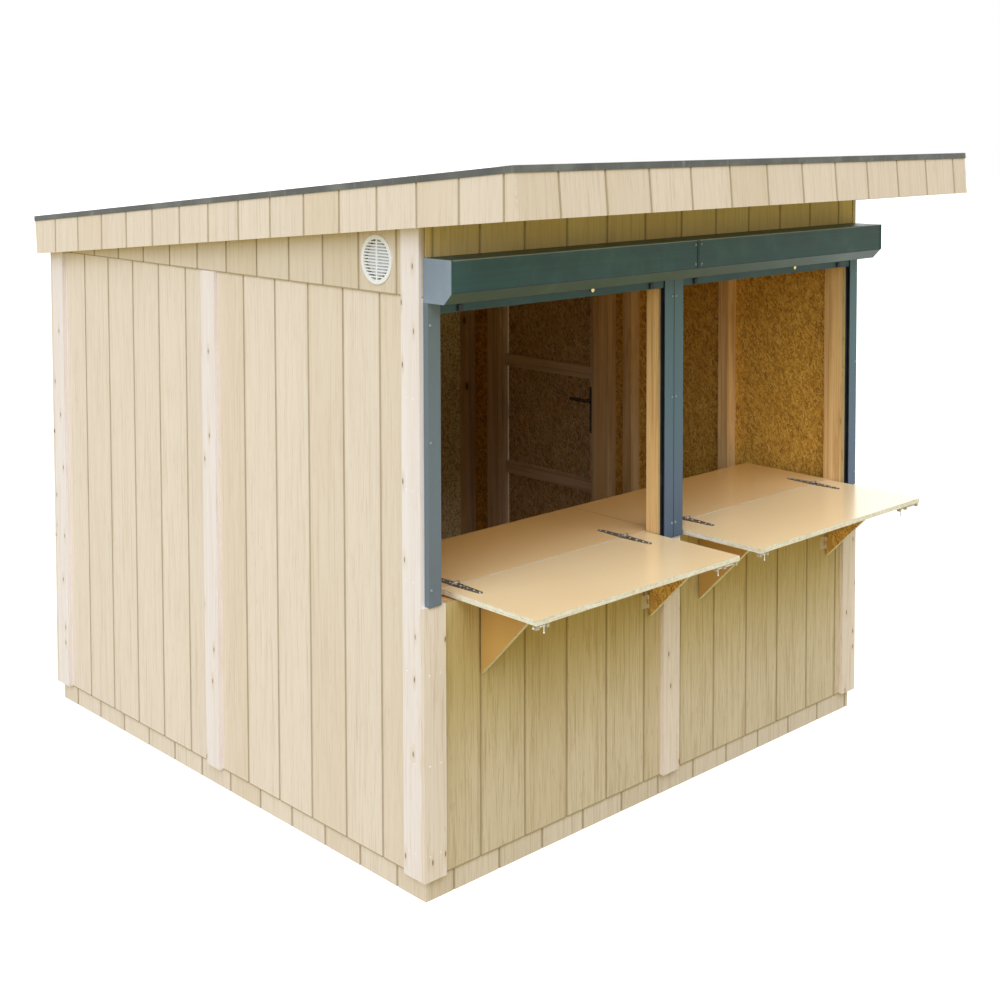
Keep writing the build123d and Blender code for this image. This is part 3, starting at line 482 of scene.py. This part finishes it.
def turned(name, profile, places, finish, body, slot, sides=20):
    """Small turned pieces: one outline of (radius, height) revolved at each (point, direction)."""
    work = bmesh.new()
    for point, way in places:
        spin = Vector((0, 0, 1)).rotation_difference(Vector(way)).to_matrix().to_4x4()
        base = Matrix.Translation(point) @ spin
        rings = []
        for radius, height in profile:
            if radius < 1e-7:
                rings.append([work.verts.new(base @ Vector((0, 0, height)))])
                continue
            rings.append(
                [
                    work.verts.new(
                        base @ Vector((radius * math.cos(a), radius * math.sin(a), height))
                    )
                    for a in (2 * math.pi * k / sides for k in range(sides))
                ]
            )
        for low, high in zip(rings, rings[1:]):
            for k in range(sides):
                j = (k + 1) % sides
                if len(low) == 1:
                    work.faces.new((low[0], high[j], high[k]))
                elif len(high) == 1:
                    work.faces.new((low[k], low[j], high[0]))
                else:
                    work.faces.new((low[k], low[j], high[j], high[k]))
    bmesh.ops.recalc_face_normals(work, faces=work.faces)
    mesh = bpy.data.meshes.new(name)
    work.to_mesh(mesh)
    work.free()
    mesh.materials.append(finish)
    for face in mesh.polygons:
        face.use_smooth = len(face.vertices) == 4
    piece = bpy.data.objects.new(name, mesh)
    bpy.context.scene.collection.objects.link(piece)
    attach(piece, body)
    return piece


def zinc(name, colour=(0.55, 0.54, 0.51), dull=0.38, metal=0.85, flecks=0.0):
    finish = Finish(name)
    bloom = finish.noise(finish.stretched((90.0, 90.0, 90.0)), detail=4.0)
    grime = finish.noise(finish.stretched((420.0, 420.0, 420.0)), detail=3.0)
    shade = finish.mixed(bloom.rising(0.4, 0.7) * 0.5, colour, tuple(c * 0.62 for c in colour))
    if flecks:
        bare = finish.noise(finish.stretched((150.0, 150.0, 150.0)), detail=2.0)
        shade = finish.mixed(bare.rising(0.56, 0.64) * flecks, shade, (0.66, 0.62, 0.50))
    return finish.done(shade, dull + bloom * 0.2, grime, depth=0.0002, strength=0.4, Metallic=metal)


bright_zinc = zinc("bright zinc screws", (0.72, 0.71, 0.68), 0.30)
nail_head = [(0.0, 0.0009), (0.0016, 0.0008), (0.0024, 0.0003), (0.0026, 0.0)]
side_batten_face = 1.2095
end_batten_face = 1.2765
batten_rows = [0.16 + 0.3 * k for k in range(6)]
rows_below_counter = batten_rows[:3]
nails_along_side = (-1.225, -1.19, -0.025, 0.025, 1.19, 1.225)
nails_along_end = (-1.185, -1.14, -0.025, 0.025, 1.14, 1.185)
nail_places = []
for z in batten_rows:
    for y in nails_along_side:
        for way in (-1, 1):
            nail_places.append(((way * side_batten_face, y, z), (way, 0, 0)))
for way, rows in ((-1, rows_below_counter), (1, batten_rows)):
    for z in rows:
        for x in nails_along_end:
            nail_places.append(((x, way * end_batten_face, z), (0, way, 0)))
turned("batten_nails", nail_head[::-1], nail_places, bright_zinc, "stall", "zinc", sides=10)


# Roof frame and deck: pine rafters between trimmers, with strand board nailed on top.
# The soffit under the overhang is the same painted board, and the fascias are cut from the
# grooved siding.
for name in ("roof_trimmers", "rafters"):
    grain_along(name, pine_finishes)
coat("roof_deck", raw_board)
fascia_paint_side = painted_siding(
    "fascia paint, sides", 1, plinth_front - 0.460, (0.99, 0.985, 0.975)
)
# The end fascias' tint is painted shade: darker and yellower than the sides.
fascia_paint_end = painted_siding(
    "fascia paint, ends", 0, plinth_left + 0.115, (0.925, 0.90, 0.85)
)
soffit_paint = painted_siding("soffit paint", 0, plinth_left + 0.06)
coat("fascia_sides", fascia_paint_side)
coat("fascia_ends", fascia_paint_end)
coat("soffit", soffit_paint)


# Roof felt: bitumen sheet faced with dark mineral grit, rolled out over the deck in lapped
# strips a metre wide and nailed along the edges.
def grit_felt(name):
    finish = Finish(name)
    grit = finish.noise(finish.stretched((900.0, 900.0, 900.0)), detail=2.0, rough=0.7)
    cloud = finish.noise(finish.stretched((5.0, 5.0, 5.0)), detail=4.0)
    lap = abs((finish.xyz[1] % 1.0) - 0.5).rising(0.494, 0.5)
    stops = [(0.3, (0.028, 0.03, 0.03)), (0.55, (0.075, 0.078, 0.076)), (0.8, (0.17, 0.17, 0.16))]
    colour = finish.tones(grit * 0.7 + cloud * 0.3, stops)
    return finish.done(colour, 0.88, grit * 0.6 + lap * 1.5, depth=0.0012, strength=0.8)


coat("roof_felt", grit_felt("gritted felt"))


# Edge trims: folded sheet steel in dark grey-green, nailed along the roof edges over the felt.
# The paint is satin, with a little dust on it.
def sheet_paint(name, colour, gloss, drift=0.12, dust_share=0.08, streaks=0.0, **fixed):
    finish = Finish(name)
    peel = finish.noise(finish.stretched((520.0, 520.0, 520.0)), detail=2.0)
    cloud = finish.noise(finish.stretched((7.0, 7.0, 7.0)), detail=4.0)
    dust = finish.noise(finish.stretched((40.0, 40.0, 9.0)), detail=5.0)
    pale = tuple(min(c * (1 + drift * 2.2) + 0.01, 1.0) for c in colour)
    deep = tuple(c * (1 - drift) for c in colour)
    shade = finish.tones(cloud, [(0.3, deep), (0.52, colour), (0.75, pale)])
    shade = finish.mixed(dust.rising(0.55, 0.8) * dust_share, shade, (0.42, 0.42, 0.38))
    if streaks:
        drawn = finish.noise(finish.stretched((1.6, 260.0, 260.0)), detail=4.0, rough=0.6)
        brushed = tuple(min(c * 2.6 + 0.02, 1.0) for c in colour)
        shade = finish.mixed(drawn.rising(0.45, 0.75) * streaks, shade, brushed)
    return finish.done(shade, gloss + dust * 0.14, peel, depth=0.00012, strength=0.35, **fixed)


trim_paint = sheet_paint("dark roof trim", (0.088, 0.092, 0.086), 0.46, 0.32, dust_share=0.3)
coat("edge_trims", trim_paint)


# Vent: a round louvred grille of moulded white plastic, pushed into a hole in the gable.
# A fine grey screen against insects sits behind the louvres, within the board's thickness.
def moulded_white(name):
    finish = Finish(name)
    grain = finish.noise(finish.stretched((600.0, 600.0, 600.0)), detail=2.0)
    dust = finish.noise(finish.stretched((50.0, 50.0, 50.0)), detail=4.0)
    shade = finish.mixed(dust.rising(0.45, 0.8) * 0.25, (0.80, 0.82, 0.88), (0.62, 0.62, 0.64))
    return finish.done(shade, 0.38 + dust * 0.12, grain, depth=0.0001, strength=0.3)


coat("vent_grille", moulded_white("white plastic"))
vent_low, vent_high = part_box("vent_grille")
vent_middle = (vent_low + vent_high) / 2
vent_radius = (vent_high.y - vent_low.y) / 2
screen_thick = 0.0008
screen_radius = vent_radius * 0.70
screen_disc = [
    (0.0, screen_thick),
    (vent_radius * 0.55, screen_thick),
    (screen_radius, screen_thick),
    (screen_radius, 0.0),
    (0.0, 0.0),
]
screen_grey = sheet_paint("pale grey insect screen", (0.58, 0.60, 0.64), 0.7, 0.05)
screen_x = -1.1935
screen_place = ((screen_x, vent_middle.y, vent_middle.z), (-1, 0, 0))
turned(
    "vent_screen", screen_disc[::-1], [screen_place], screen_grey, "stall", "vent_plastic", sides=48
)


# Side door: a leaf of the siding with pine ledges and a latch stile screwed to its back,
# hung on long zinc straps. Black plates and a black lever sit on the latch side. Its inside
# timbers have the same browner tint as the rear studs: painted shade.
two_faced("door_leaf", -side_lining, (-1, 0, 0), side_paint, door_board)
coat("door_ledges", shaded_pine[1])
grain_along("door_frame", shaded_pine)
black_paint = sheet_paint("black satin fittings", (0.075, 0.062, 0.050), 0.30, 0.3)
coat("lock_plates", black_paint)
coat("door_lever", black_paint)
strap_zinc = zinc("zinc straps", (0.30, 0.29, 0.26), 0.42)
coat("door_straps", strap_zinc)
coat("hinge_plates", strap_zinc)
screw_head = [
    (0.0040, 0.0),
    (0.0040, 0.0006),
    (0.0033, 0.0016),
    (0.0014, 0.0021),
    (0.0012, 0.0012),
    (0.0, 0.0010),
]
strap_heights = (0.244, 1.0045, 1.765)
strap_face = 1.1960
door_screws = []
for z in strap_heights:
    for y in (0.66, 0.74, 0.82):
        door_screws.append(((strap_face, y, z), (1, 0, 0)))
turned("door_strap_screws", screw_head, door_screws, bright_zinc, "door", "zinc", sides=14)
plate_y = 0.957
plate_screws = []
for z in strap_heights:
    for up in (-0.02, 0.0, 0.02):
        plate_screws.append(((strap_face, plate_y, z + up), (1, 0, 0)))
turned("door_plate_screws", screw_head, plate_screws, bright_zinc, "stall", "zinc", sides=14)
lock_y = 0.2655
for side, x, way in (("in", 1.1515, -1), ("out", 1.1965, 1)):
    ends = [((x, lock_y, z), (way, 0, 0)) for z in (0.998, 1.205)]
    turned("lock_screws_" + side, screw_head, ends, black_paint, "door", "black", sides=14)


# Guide rails: extruded aluminium channels in blue-grey paint, screwed to the posts.
# The side that faces the hatch is a dark brush-lined slot for the curtain.
def rail_blue(name):
    """Rail paint, greener at the box, bluer at the foot and paler at the left, as photographed."""
    finish = Finish(name)
    peel = finish.noise(finish.stretched((520.0, 520.0, 520.0)), detail=2.0)
    cloud = finish.noise(finish.stretched((9.0, 9.0, 5.0)), detail=4.0)
    brushed = finish.noise(finish.stretched((300.0, 300.0, 4.0)), detail=4.0)
    # Painted shade: greener toward the box and bluer toward the foot.
    height = finish.xyz[2] + cloud * 0.5
    shade = finish.mixed(height.rising(1.1, 2.2), (0.074, 0.112, 0.190), (0.066, 0.142, 0.165))
    # Painted light: paler toward the left.
    paler = 1.0 - finish.xyz[0].rising(-1.2, -0.4)
    shade = finish.mixed(paler * 0.7, shade, (0.155, 0.185, 0.215))
    shade = finish.mixed(brushed.rising(0.45, 0.75) * 0.3, shade, (0.115, 0.165, 0.22))
    gloss = 0.34 + brushed * 0.12
    return finish.done(
        shade, gloss, peel, depth=0.00012, strength=0.35, Specular_IOR_Level=0.35
    )


rail_paint = rail_blue("blue-grey rail paint")
rail_screw_paint = sheet_paint("painted screw heads", (0.22, 0.27, 0.30), 0.34, 0.10)
slot_black = sheet_paint("dark slot lining", (0.012, 0.014, 0.024), 0.5, 0.3)
rail_centres = ((-1.166, 1), (-0.026, -1), (0.026, 1), (1.166, -1))
slot_front, slot_back = -1.2800, -1.2640
mesh = nodes["guide_rails"].data
mesh.materials.clear()
mesh.materials.append(rail_paint)
mesh.materials.append(slot_black)
for face in mesh.polygons:
    x = face.center.x
    centre, side = min(rail_centres, key=lambda rail: abs(rail[0] - x))
    hatch_side = face.normal.x * side > 0.5
    in_slot = (x - centre) * side > -0.02 and slot_front < face.center.y < slot_back
    face.material_index = 1 if hatch_side or in_slot else 0
rail_head = [
    (0.0052, 0.0),
    (0.0052, 0.0012),
    (0.0040, 0.0028),
    (0.0016, 0.0034),
    (0.0014, 0.0022),
    (0.0, 0.0020),
]
rail_face = -1.2830
rail_screws = []
for x in (-1.182, -0.010, 0.010, 1.182):
    for z in (1.04, 1.52, 1.90):
        rail_screws.append(((x, rail_face, z), (0, -1, 0)))
turned("rail_screws", rail_head, rail_screws, rail_screw_paint, "stall", "zinc", sides=16)


# Shutter boxes: roll-formed housings in one blue-grey paint, given as copies of painted light and
# shade: dark blue-green on the front, lighter on the lower chamfer, paler blue on the end caps.
# A pale strip of painted highlight runs along the top edge, and the two boxes meet at a seam over
# the middle rails.
box_satin = {"dust_share": 0.04, "Specular_IOR_Level": 0.3}
box_paint = sheet_paint(
    "box paint in painted shade", (0.017, 0.066, 0.064), 0.36, 0.16, streaks=0.16, **box_satin
)
# The end caps and the chamfer are lighter copies of the box paint: painted light.
cap_paint = sheet_paint("box paint in painted light, end caps", (0.20, 0.255, 0.335), 0.42, 0.08)
chamfer_paint = sheet_paint(
    "box paint in painted light, chamfer", (0.050, 0.100, 0.092), 0.36, 0.12, **box_satin
)
mesh = nodes["shutter_boxes"].data
mesh.materials.clear()
for finish in (box_paint, cap_paint, chamfer_paint):
    mesh.materials.append(finish)
for face in mesh.polygons:
    if abs(face.normal.x) > 0.9:
        face.material_index = 1
    elif face.normal.y < -0.3 and face.normal.z < -0.3:
        face.material_index = 2
    else:
        face.material_index = 0


def strip(name, spans, finish, body, bevel=0.0006):
    """Slim folded strips, each between three pairs of faces, with softened edges."""
    work = bmesh.new()
    for x, y, z in spans:
        made = bmesh.ops.create_cube(work, size=1.0)["verts"]
        for vertex in made:
            vertex.co = Vector(
                [
                    low + (high - low) * (part + 0.5)
                    for part, (low, high) in zip(vertex.co, (x, y, z))
                ]
            )
    if bevel:
        bmesh.ops.bevel(work, geom=list(work.edges), offset=bevel, segments=2, affect="EDGES")
    mesh = bpy.data.meshes.new(name)
    work.to_mesh(mesh)
    work.free()
    mesh.materials.append(finish)
    piece = bpy.data.objects.new(name, mesh)
    bpy.context.scene.collection.objects.link(piece)
    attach(piece, body)
    return piece


# The lip's pale colour is a painted highlight along the box's top edge.
lip_paint = sheet_paint("box lip with painted highlight", (0.20, 0.24, 0.24), 0.4, 0.1)
front_y = -1.401
lips = []
joint_lines = []
for start, end in ((-1.192, -0.0008), (0.0008, 1.192)):
    lips.append(((start, end), (front_y - 0.0016, front_y + 0.004), (2.1135, 2.1172)))
    joint_lines.append(((start, end), (front_y - 0.0012, front_y + 0.003), (2.0110, 2.0132)))
strip("box_lips", lips, lip_paint, "stall")
strip("box_fold_lines", joint_lines, slot_black, "stall", bevel=0.0004)
caps = []
for start, end in ((-1.1928, -1.186), (-0.0062, -0.0006), (0.0006, 0.0062), (1.186, 1.1928)):
    caps.append(((start, end), (front_y - 0.0022, front_y + 0.002), (2.0125, 2.1165)))
strip("box_end_flanges", caps, box_paint, "stall")
rail_gap = ((-0.0013, 0.0013), (-1.2838, -1.2790), (0.985, 1.972))
strip("rail_joint", [rail_gap], slot_black, "stall", bevel=0.0003)
seam_screws = []
for x in (-0.016, 0.016):
    for z in (2.028, 2.100):
        seam_screws.append(((x, front_y - 0.0002, z), (0, -1, 0)))
turned("box_seam_screws", rail_head, seam_screws, rail_screw_paint, "stall", "zinc", sides=16)


# Shutter slats: the last aluminium slat of each rolled curtain, with a brass lock cylinder
# in it and a small black rubber stop near each end.
coat("shutter_slats", box_paint)


def brass(name):
    finish = Finish(name)
    bloom = finish.noise(finish.stretched((260.0, 260.0, 260.0)), detail=3.0)
    shade = finish.mixed(bloom.rising(0.4, 0.7) * 0.4, (0.78, 0.58, 0.22), (0.55, 0.40, 0.16))
    return finish.done(shade, 0.26 + bloom * 0.2, bloom, depth=0.0001, strength=0.3, Metallic=1.0)


coat("shutter_locks", brass("turned brass"))
stop_rubber = sheet_paint("black rubber stops", (0.015, 0.015, 0.016), 0.6, 0.3)
stop_half = 0.011
stops = []
for x in (-1.054, -0.125, 0.125, 1.054):
    stops.append(((x - stop_half, x + stop_half), (-1.2855, -1.2795), (1.936, 1.958)))
strip("slat_stops", stops, stop_rubber, "stall", bevel=0.0015)
rib_spans = []
for start, end in ((-1.137, -0.055), (0.055, 1.137)):
    rib_spans.append(((start, end), (-1.2805, -1.2785), (1.9585, 1.9605)))
strip("slat_ribs", rib_spans, slot_black, "stall", bevel=0.0003)


# Worktop and counter flaps: film-faced board in a beech tone, with pale glued edges.
# The worktop lies on a pine frame behind the hatches, in two lengths.
def film_face(name, tint=(1.0, 1.0, 1.0), joint=0.0, shine=0.7, back=None):
    """Beech-toned film, with a dark line where two lengths meet at X = 0 if joint is set.

    The tint, and the tone it darkens to towards the back, paint in the shade that the
    photograph shows under the flaps and inside the hatches. They aren't the film's own colour.
    """
    finish = Finish(name)
    print_grain = finish.noise(finish.stretched((5.0, 160.0, 160.0)), detail=5.0, rough=0.6)
    cloud = finish.noise(finish.stretched((3.0, 3.0, 3.0)), detail=4.0)
    scuff = finish.noise(finish.stretched((5.0, 3.0, 5.0)), detail=6.0, rough=0.6)
    stops = [(0.3, (0.94, 0.69, 0.395)), (0.52, (0.96, 0.72, 0.42)), (0.76, (0.97, 0.745, 0.445))]
    colour = finish.tones(cloud * 0.5 + print_grain * 0.5, tinted(stops, tint))
    if back:
        colour = finish.mixed(finish.xyz[1].rising(-1.35, -0.75), colour, back, "MULTIPLY")
    if joint:
        line = 1.0 - abs(finish.xyz[0]).rising(0.0010, 0.0022)
        colour = finish.mixed(line * joint, colour, (0.30, 0.16, 0.06))
    gloss = 0.22 + scuff * 0.04
    return finish.done(
        colour, gloss, cloud, depth=0.0003, strength=0.08, Specular_IOR_Level=shine
    )


def glued_edge(name):
    """Cream edge band with the faint lines of the layers behind it."""
    finish = Finish(name)
    layers = finish.noise(finish.stretched((8.0, 8.0, 520.0)), detail=2.0)
    blots = finish.noise(finish.stretched((70.0, 70.0, 70.0)), detail=4.0)
    stops = [(0.34, (0.54, 0.48, 0.35)), (0.5, (0.76, 0.72, 0.60)), (0.66, (0.88, 0.86, 0.79))]
    colour = finish.tones(layers * 0.6 + blots * 0.4, stops)
    return finish.done(colour, 0.6, layers, depth=0.0004, strength=0.4)


film = film_face("beech film")
bracket_film = film_face("beech film, brackets", (0.55, 0.43, 0.23), shine=0.4)
worktop_film = film_face(
    "beech film, worktop",
    (0.99, 0.93, 0.86),
    joint=0.9,
    shine=0.65,
    back=(0.90, 0.74, 0.48),
)
edge_band = glued_edge("pale board edge")


def faced_board(name, flat_axis, faces=None):
    """A film-faced board: film on its flat faces, the pale band on its edges."""
    mesh = nodes[name].data
    mesh.materials.clear()
    mesh.materials.append(film)
    mesh.materials.append(edge_band)
    if faces:
        mesh.materials.append(faces[1])
    for face in mesh.polygons:
        flat = abs(face.normal[flat_axis]) > 0.9
        if flat and faces and face.normal[flat_axis] * faces[0] > 0:
            face.material_index = 2
        else:
            face.material_index = 0 if flat else 1


for name in ("worktops", "flap_left", "flap_right"):
    faced_board(name, 2)
nodes["worktops"].data.materials[0] = worktop_film
grain_along("worktop_bearers", pine_finishes)


# Flap hinges: tapered zinc straps screwed to the flap and to the worktop, with bright screw heads,
# and barrel bolts under the flaps' front corners with a hanging handle pin.
flap_zinc = zinc("flap straps", (0.105, 0.080, 0.050), 0.48, 0.35, flecks=0.7)
pin_zinc = zinc("bolt handles", (0.58, 0.55, 0.46), 0.35)
case_zinc = zinc("bolt cases", (0.50, 0.43, 0.29), 0.5, 0.2)
hinge_y = -1.189
barrel_reach = 0.009
bolts_below = 0.984
for name in ("flap_left_ironwork", "flap_right_ironwork"):
    mesh = nodes[name].data
    mesh.materials.clear()
    mesh.materials.append(flap_zinc)
    mesh.materials.append(pin_zinc)
    mesh.materials.append(case_zinc)
    for face in mesh.polygons:
        under = face.center.z < bolts_below
        barrel = abs(face.center.y - hinge_y) < barrel_reach
        face.material_index = 2 if under else 1 if barrel else 0
for count in range(1, 5):
    coat(f"bolt_{count}", pin_zinc)
strap_x = (-1.001, -0.171, 0.188, 1.015)
strap_top = 1.0025
strap_holes = (0.028, 0.062, 0.095, 0.124)
flat_head = [
    (0.0042, 0.0),
    (0.0042, 0.0004),
    (0.0032, 0.0014),
    (0.0012, 0.0017),
    (0.0010, 0.0010),
    (0.0, 0.0008),
]


def strap_screws(name, places, way, body):
    """Screws along the straps at these places, on the side of the hinge line that way says."""
    heads = []
    for x in places:
        for reach in strap_holes:
            heads.append(((x, hinge_y + way * reach, strap_top), (0, 0, 1)))
    turned(name, flat_head, heads, bright_zinc, body, "zinc", sides=14)


strap_screws("flap_left_strap_screws", strap_x[:2], -1, "flap_left")
strap_screws("flap_right_strap_screws", strap_x[2:], -1, "flap_right")
strap_screws("worktop_strap_screws", strap_x, 1, "stall")


# Brackets: upright triangles cut from the same film-faced board, hung on small leaf hinges,
# so that they swing out under a flap. Each has film on one face and raw strands on the other.
leaf_brown = sheet_paint("brown lacquered hinge leaf", (0.34, 0.20, 0.07), 0.5, 0.2)
leaf_gold = sheet_paint("hinge leaf lacquered like the board", (0.56, 0.33, 0.09), 0.5, 0.2)
# This cream is the wall paint with the apron's painted shade in it: darker and yellower.
leaf_cream = sheet_paint("hinge plate painted with the wall", (0.62, 0.53, 0.38), 0.55, 0.1)
front_from = -1.25
counter_below = 0.95
mesh = nodes["hinge_plates"].data
mesh.materials.append(leaf_cream)
for face in mesh.polygons:
    if face.center.y < front_from and face.center.z < counter_below:
        face.material_index = 1
for count, way in ((1, 1), (2, -1), (3, 1), (4, -1)):
    faced_board(f"bracket_{count}", 0, (way, raw_board))
    nodes[f"bracket_{count}"].data.materials[0] = bracket_film
    coat(f"bracket_leaf_{count}", leaf_brown if way > 0 else leaf_gold)
leaf_x = ((-0.946, 1), (-0.107, -1), (0.179, 1), (1.016, -1))
leaf_face = -1.2625
screw_from_pin = 0.034
leaf_screws = []
for x, way in leaf_x:
    for z in (0.912, 0.762):
        for up in (-0.016, 0.016):
            leaf_screws.append(((x + way * screw_from_pin, leaf_face, z + up), (0, -1, 0)))
turned("bracket_plate_screws", flat_head, leaf_screws, leaf_cream, "stall", "zinc", sides=12)


# Studio: a plain white floor in an open white surround, with two broad soft lamps from the
# left and the front and a weak one from the back right. Floor and surround only look white:
# the light that they throw on the stall is dim and warm.
def lit_floor(name):
    finish = Finish(name)
    seen = finish.add("ShaderNodeLightPath", {}, {})
    share = seen["Is Camera Ray"].math("MAXIMUM", seen["Is Camera Ray"], seen["Is Glossy Ray"])
    share = share.math("MAXIMUM", share, seen["Is Transmission Ray"])
    warm = finish.add("ShaderNodeBsdfDiffuse", {}, {"Color": (0.42, 0.34, 0.07)})[0]
    soft = finish.add("ShaderNodeBsdfDiffuse", {}, {"Color": (0.90, 0.90, 0.90)})[0]
    glow = finish.add("ShaderNodeEmission", {}, {"Color": (1.0, 1.0, 1.0), "Strength": 0.34})[0]
    both = finish.add("ShaderNodeAddShader", {}, {0: soft, 1: glow})[0]
    out = finish.add("ShaderNodeMixShader", {}, {0: share, 1: warm, 2: both})[0]
    finish.add("ShaderNodeOutputMaterial", {}, {0: out})
    return finish.material


work = bmesh.new()
floor_reach = 60.0
bmesh.ops.create_grid(work, x_segments=4, y_segments=4, size=floor_reach)
mesh = bpy.data.meshes.new("studio_floor")
work.to_mesh(mesh)
work.free()
mesh.materials.append(lit_floor("white studio floor"))
floor = bpy.data.objects.new("studio_floor", mesh)
bpy.context.scene.collection.objects.link(floor)

world = bpy.data.worlds.new("studio surround")
world.use_nodes = True
tree = world.node_tree
tree.nodes.clear()
path = tree.nodes.new("ShaderNodeLightPath")
fill = tree.nodes.new("ShaderNodeBackground")
fill.inputs[0].default_value = (1.0, 0.88, 0.52, 1)
fill.inputs[1].default_value = 0.25
white = tree.nodes.new("ShaderNodeBackground")
white.inputs[0].default_value = (1, 1, 1, 1)
white.inputs[1].default_value = 1.0
seen = None
for name in ("Is Camera Ray", "Is Glossy Ray", "Is Transmission Ray"):
    if seen is None:
        seen = path.outputs[name]
    else:
        most = tree.nodes.new("ShaderNodeMath")
        most.operation = "MAXIMUM"
        tree.links.new(seen, most.inputs[0])
        tree.links.new(path.outputs[name], most.inputs[1])
        seen = most.outputs[0]
mix = tree.nodes.new("ShaderNodeMixShader")
tree.links.new(seen, mix.inputs[0])
tree.links.new(fill.outputs[0], mix.inputs[1])
tree.links.new(white.outputs[0], mix.inputs[2])
out = tree.nodes.new("ShaderNodeOutputWorld")
tree.links.new(mix.outputs[0], out.inputs[0])
bpy.context.scene.world = world


def soft_sun(name, source, strength, colour, spread):
    lamp = bpy.data.lights.new(name, "SUN")
    lamp.energy = strength
    lamp.color = colour
    lamp.angle = math.radians(spread)
    holder = bpy.data.objects.new(name, lamp)
    holder.rotation_mode = "QUATERNION"
    holder.rotation_quaternion = Vector(source).to_track_quat("Z", "Y")
    bpy.context.scene.collection.objects.link(holder)


soft_sun("low soft lamp, left", (-0.90, -0.28, 0.42), 2.10, (0.85, 0.91, 1.0), 65)
soft_sun("high soft lamp, front", (-0.15, -0.55, 1.0), 3.00, (0.85, 0.91, 1.0), 70)
soft_sun("weak lamp, back right", (0.75, 0.70, 0.45), 0.95, (0.93, 0.95, 1.0), 60)

camera_dip = 2.94
camera_heading = -44.946
view = bpy.data.cameras.new("photograph view")
view.sensor_width = 36
view.lens = 54.57
view.shift_x = -0.0713
view.shift_y = -0.30
camera = bpy.data.objects.new("photograph view", view)
camera.location = (-4.266, -5.011, 2.5497)
camera.rotation_euler = (math.radians(90 - camera_dip), 0, math.radians(camera_heading))
bpy.context.scene.collection.objects.link(camera)
bpy.context.scene.camera = camera
bpy.context.scene.view_settings.view_transform = "Standard"
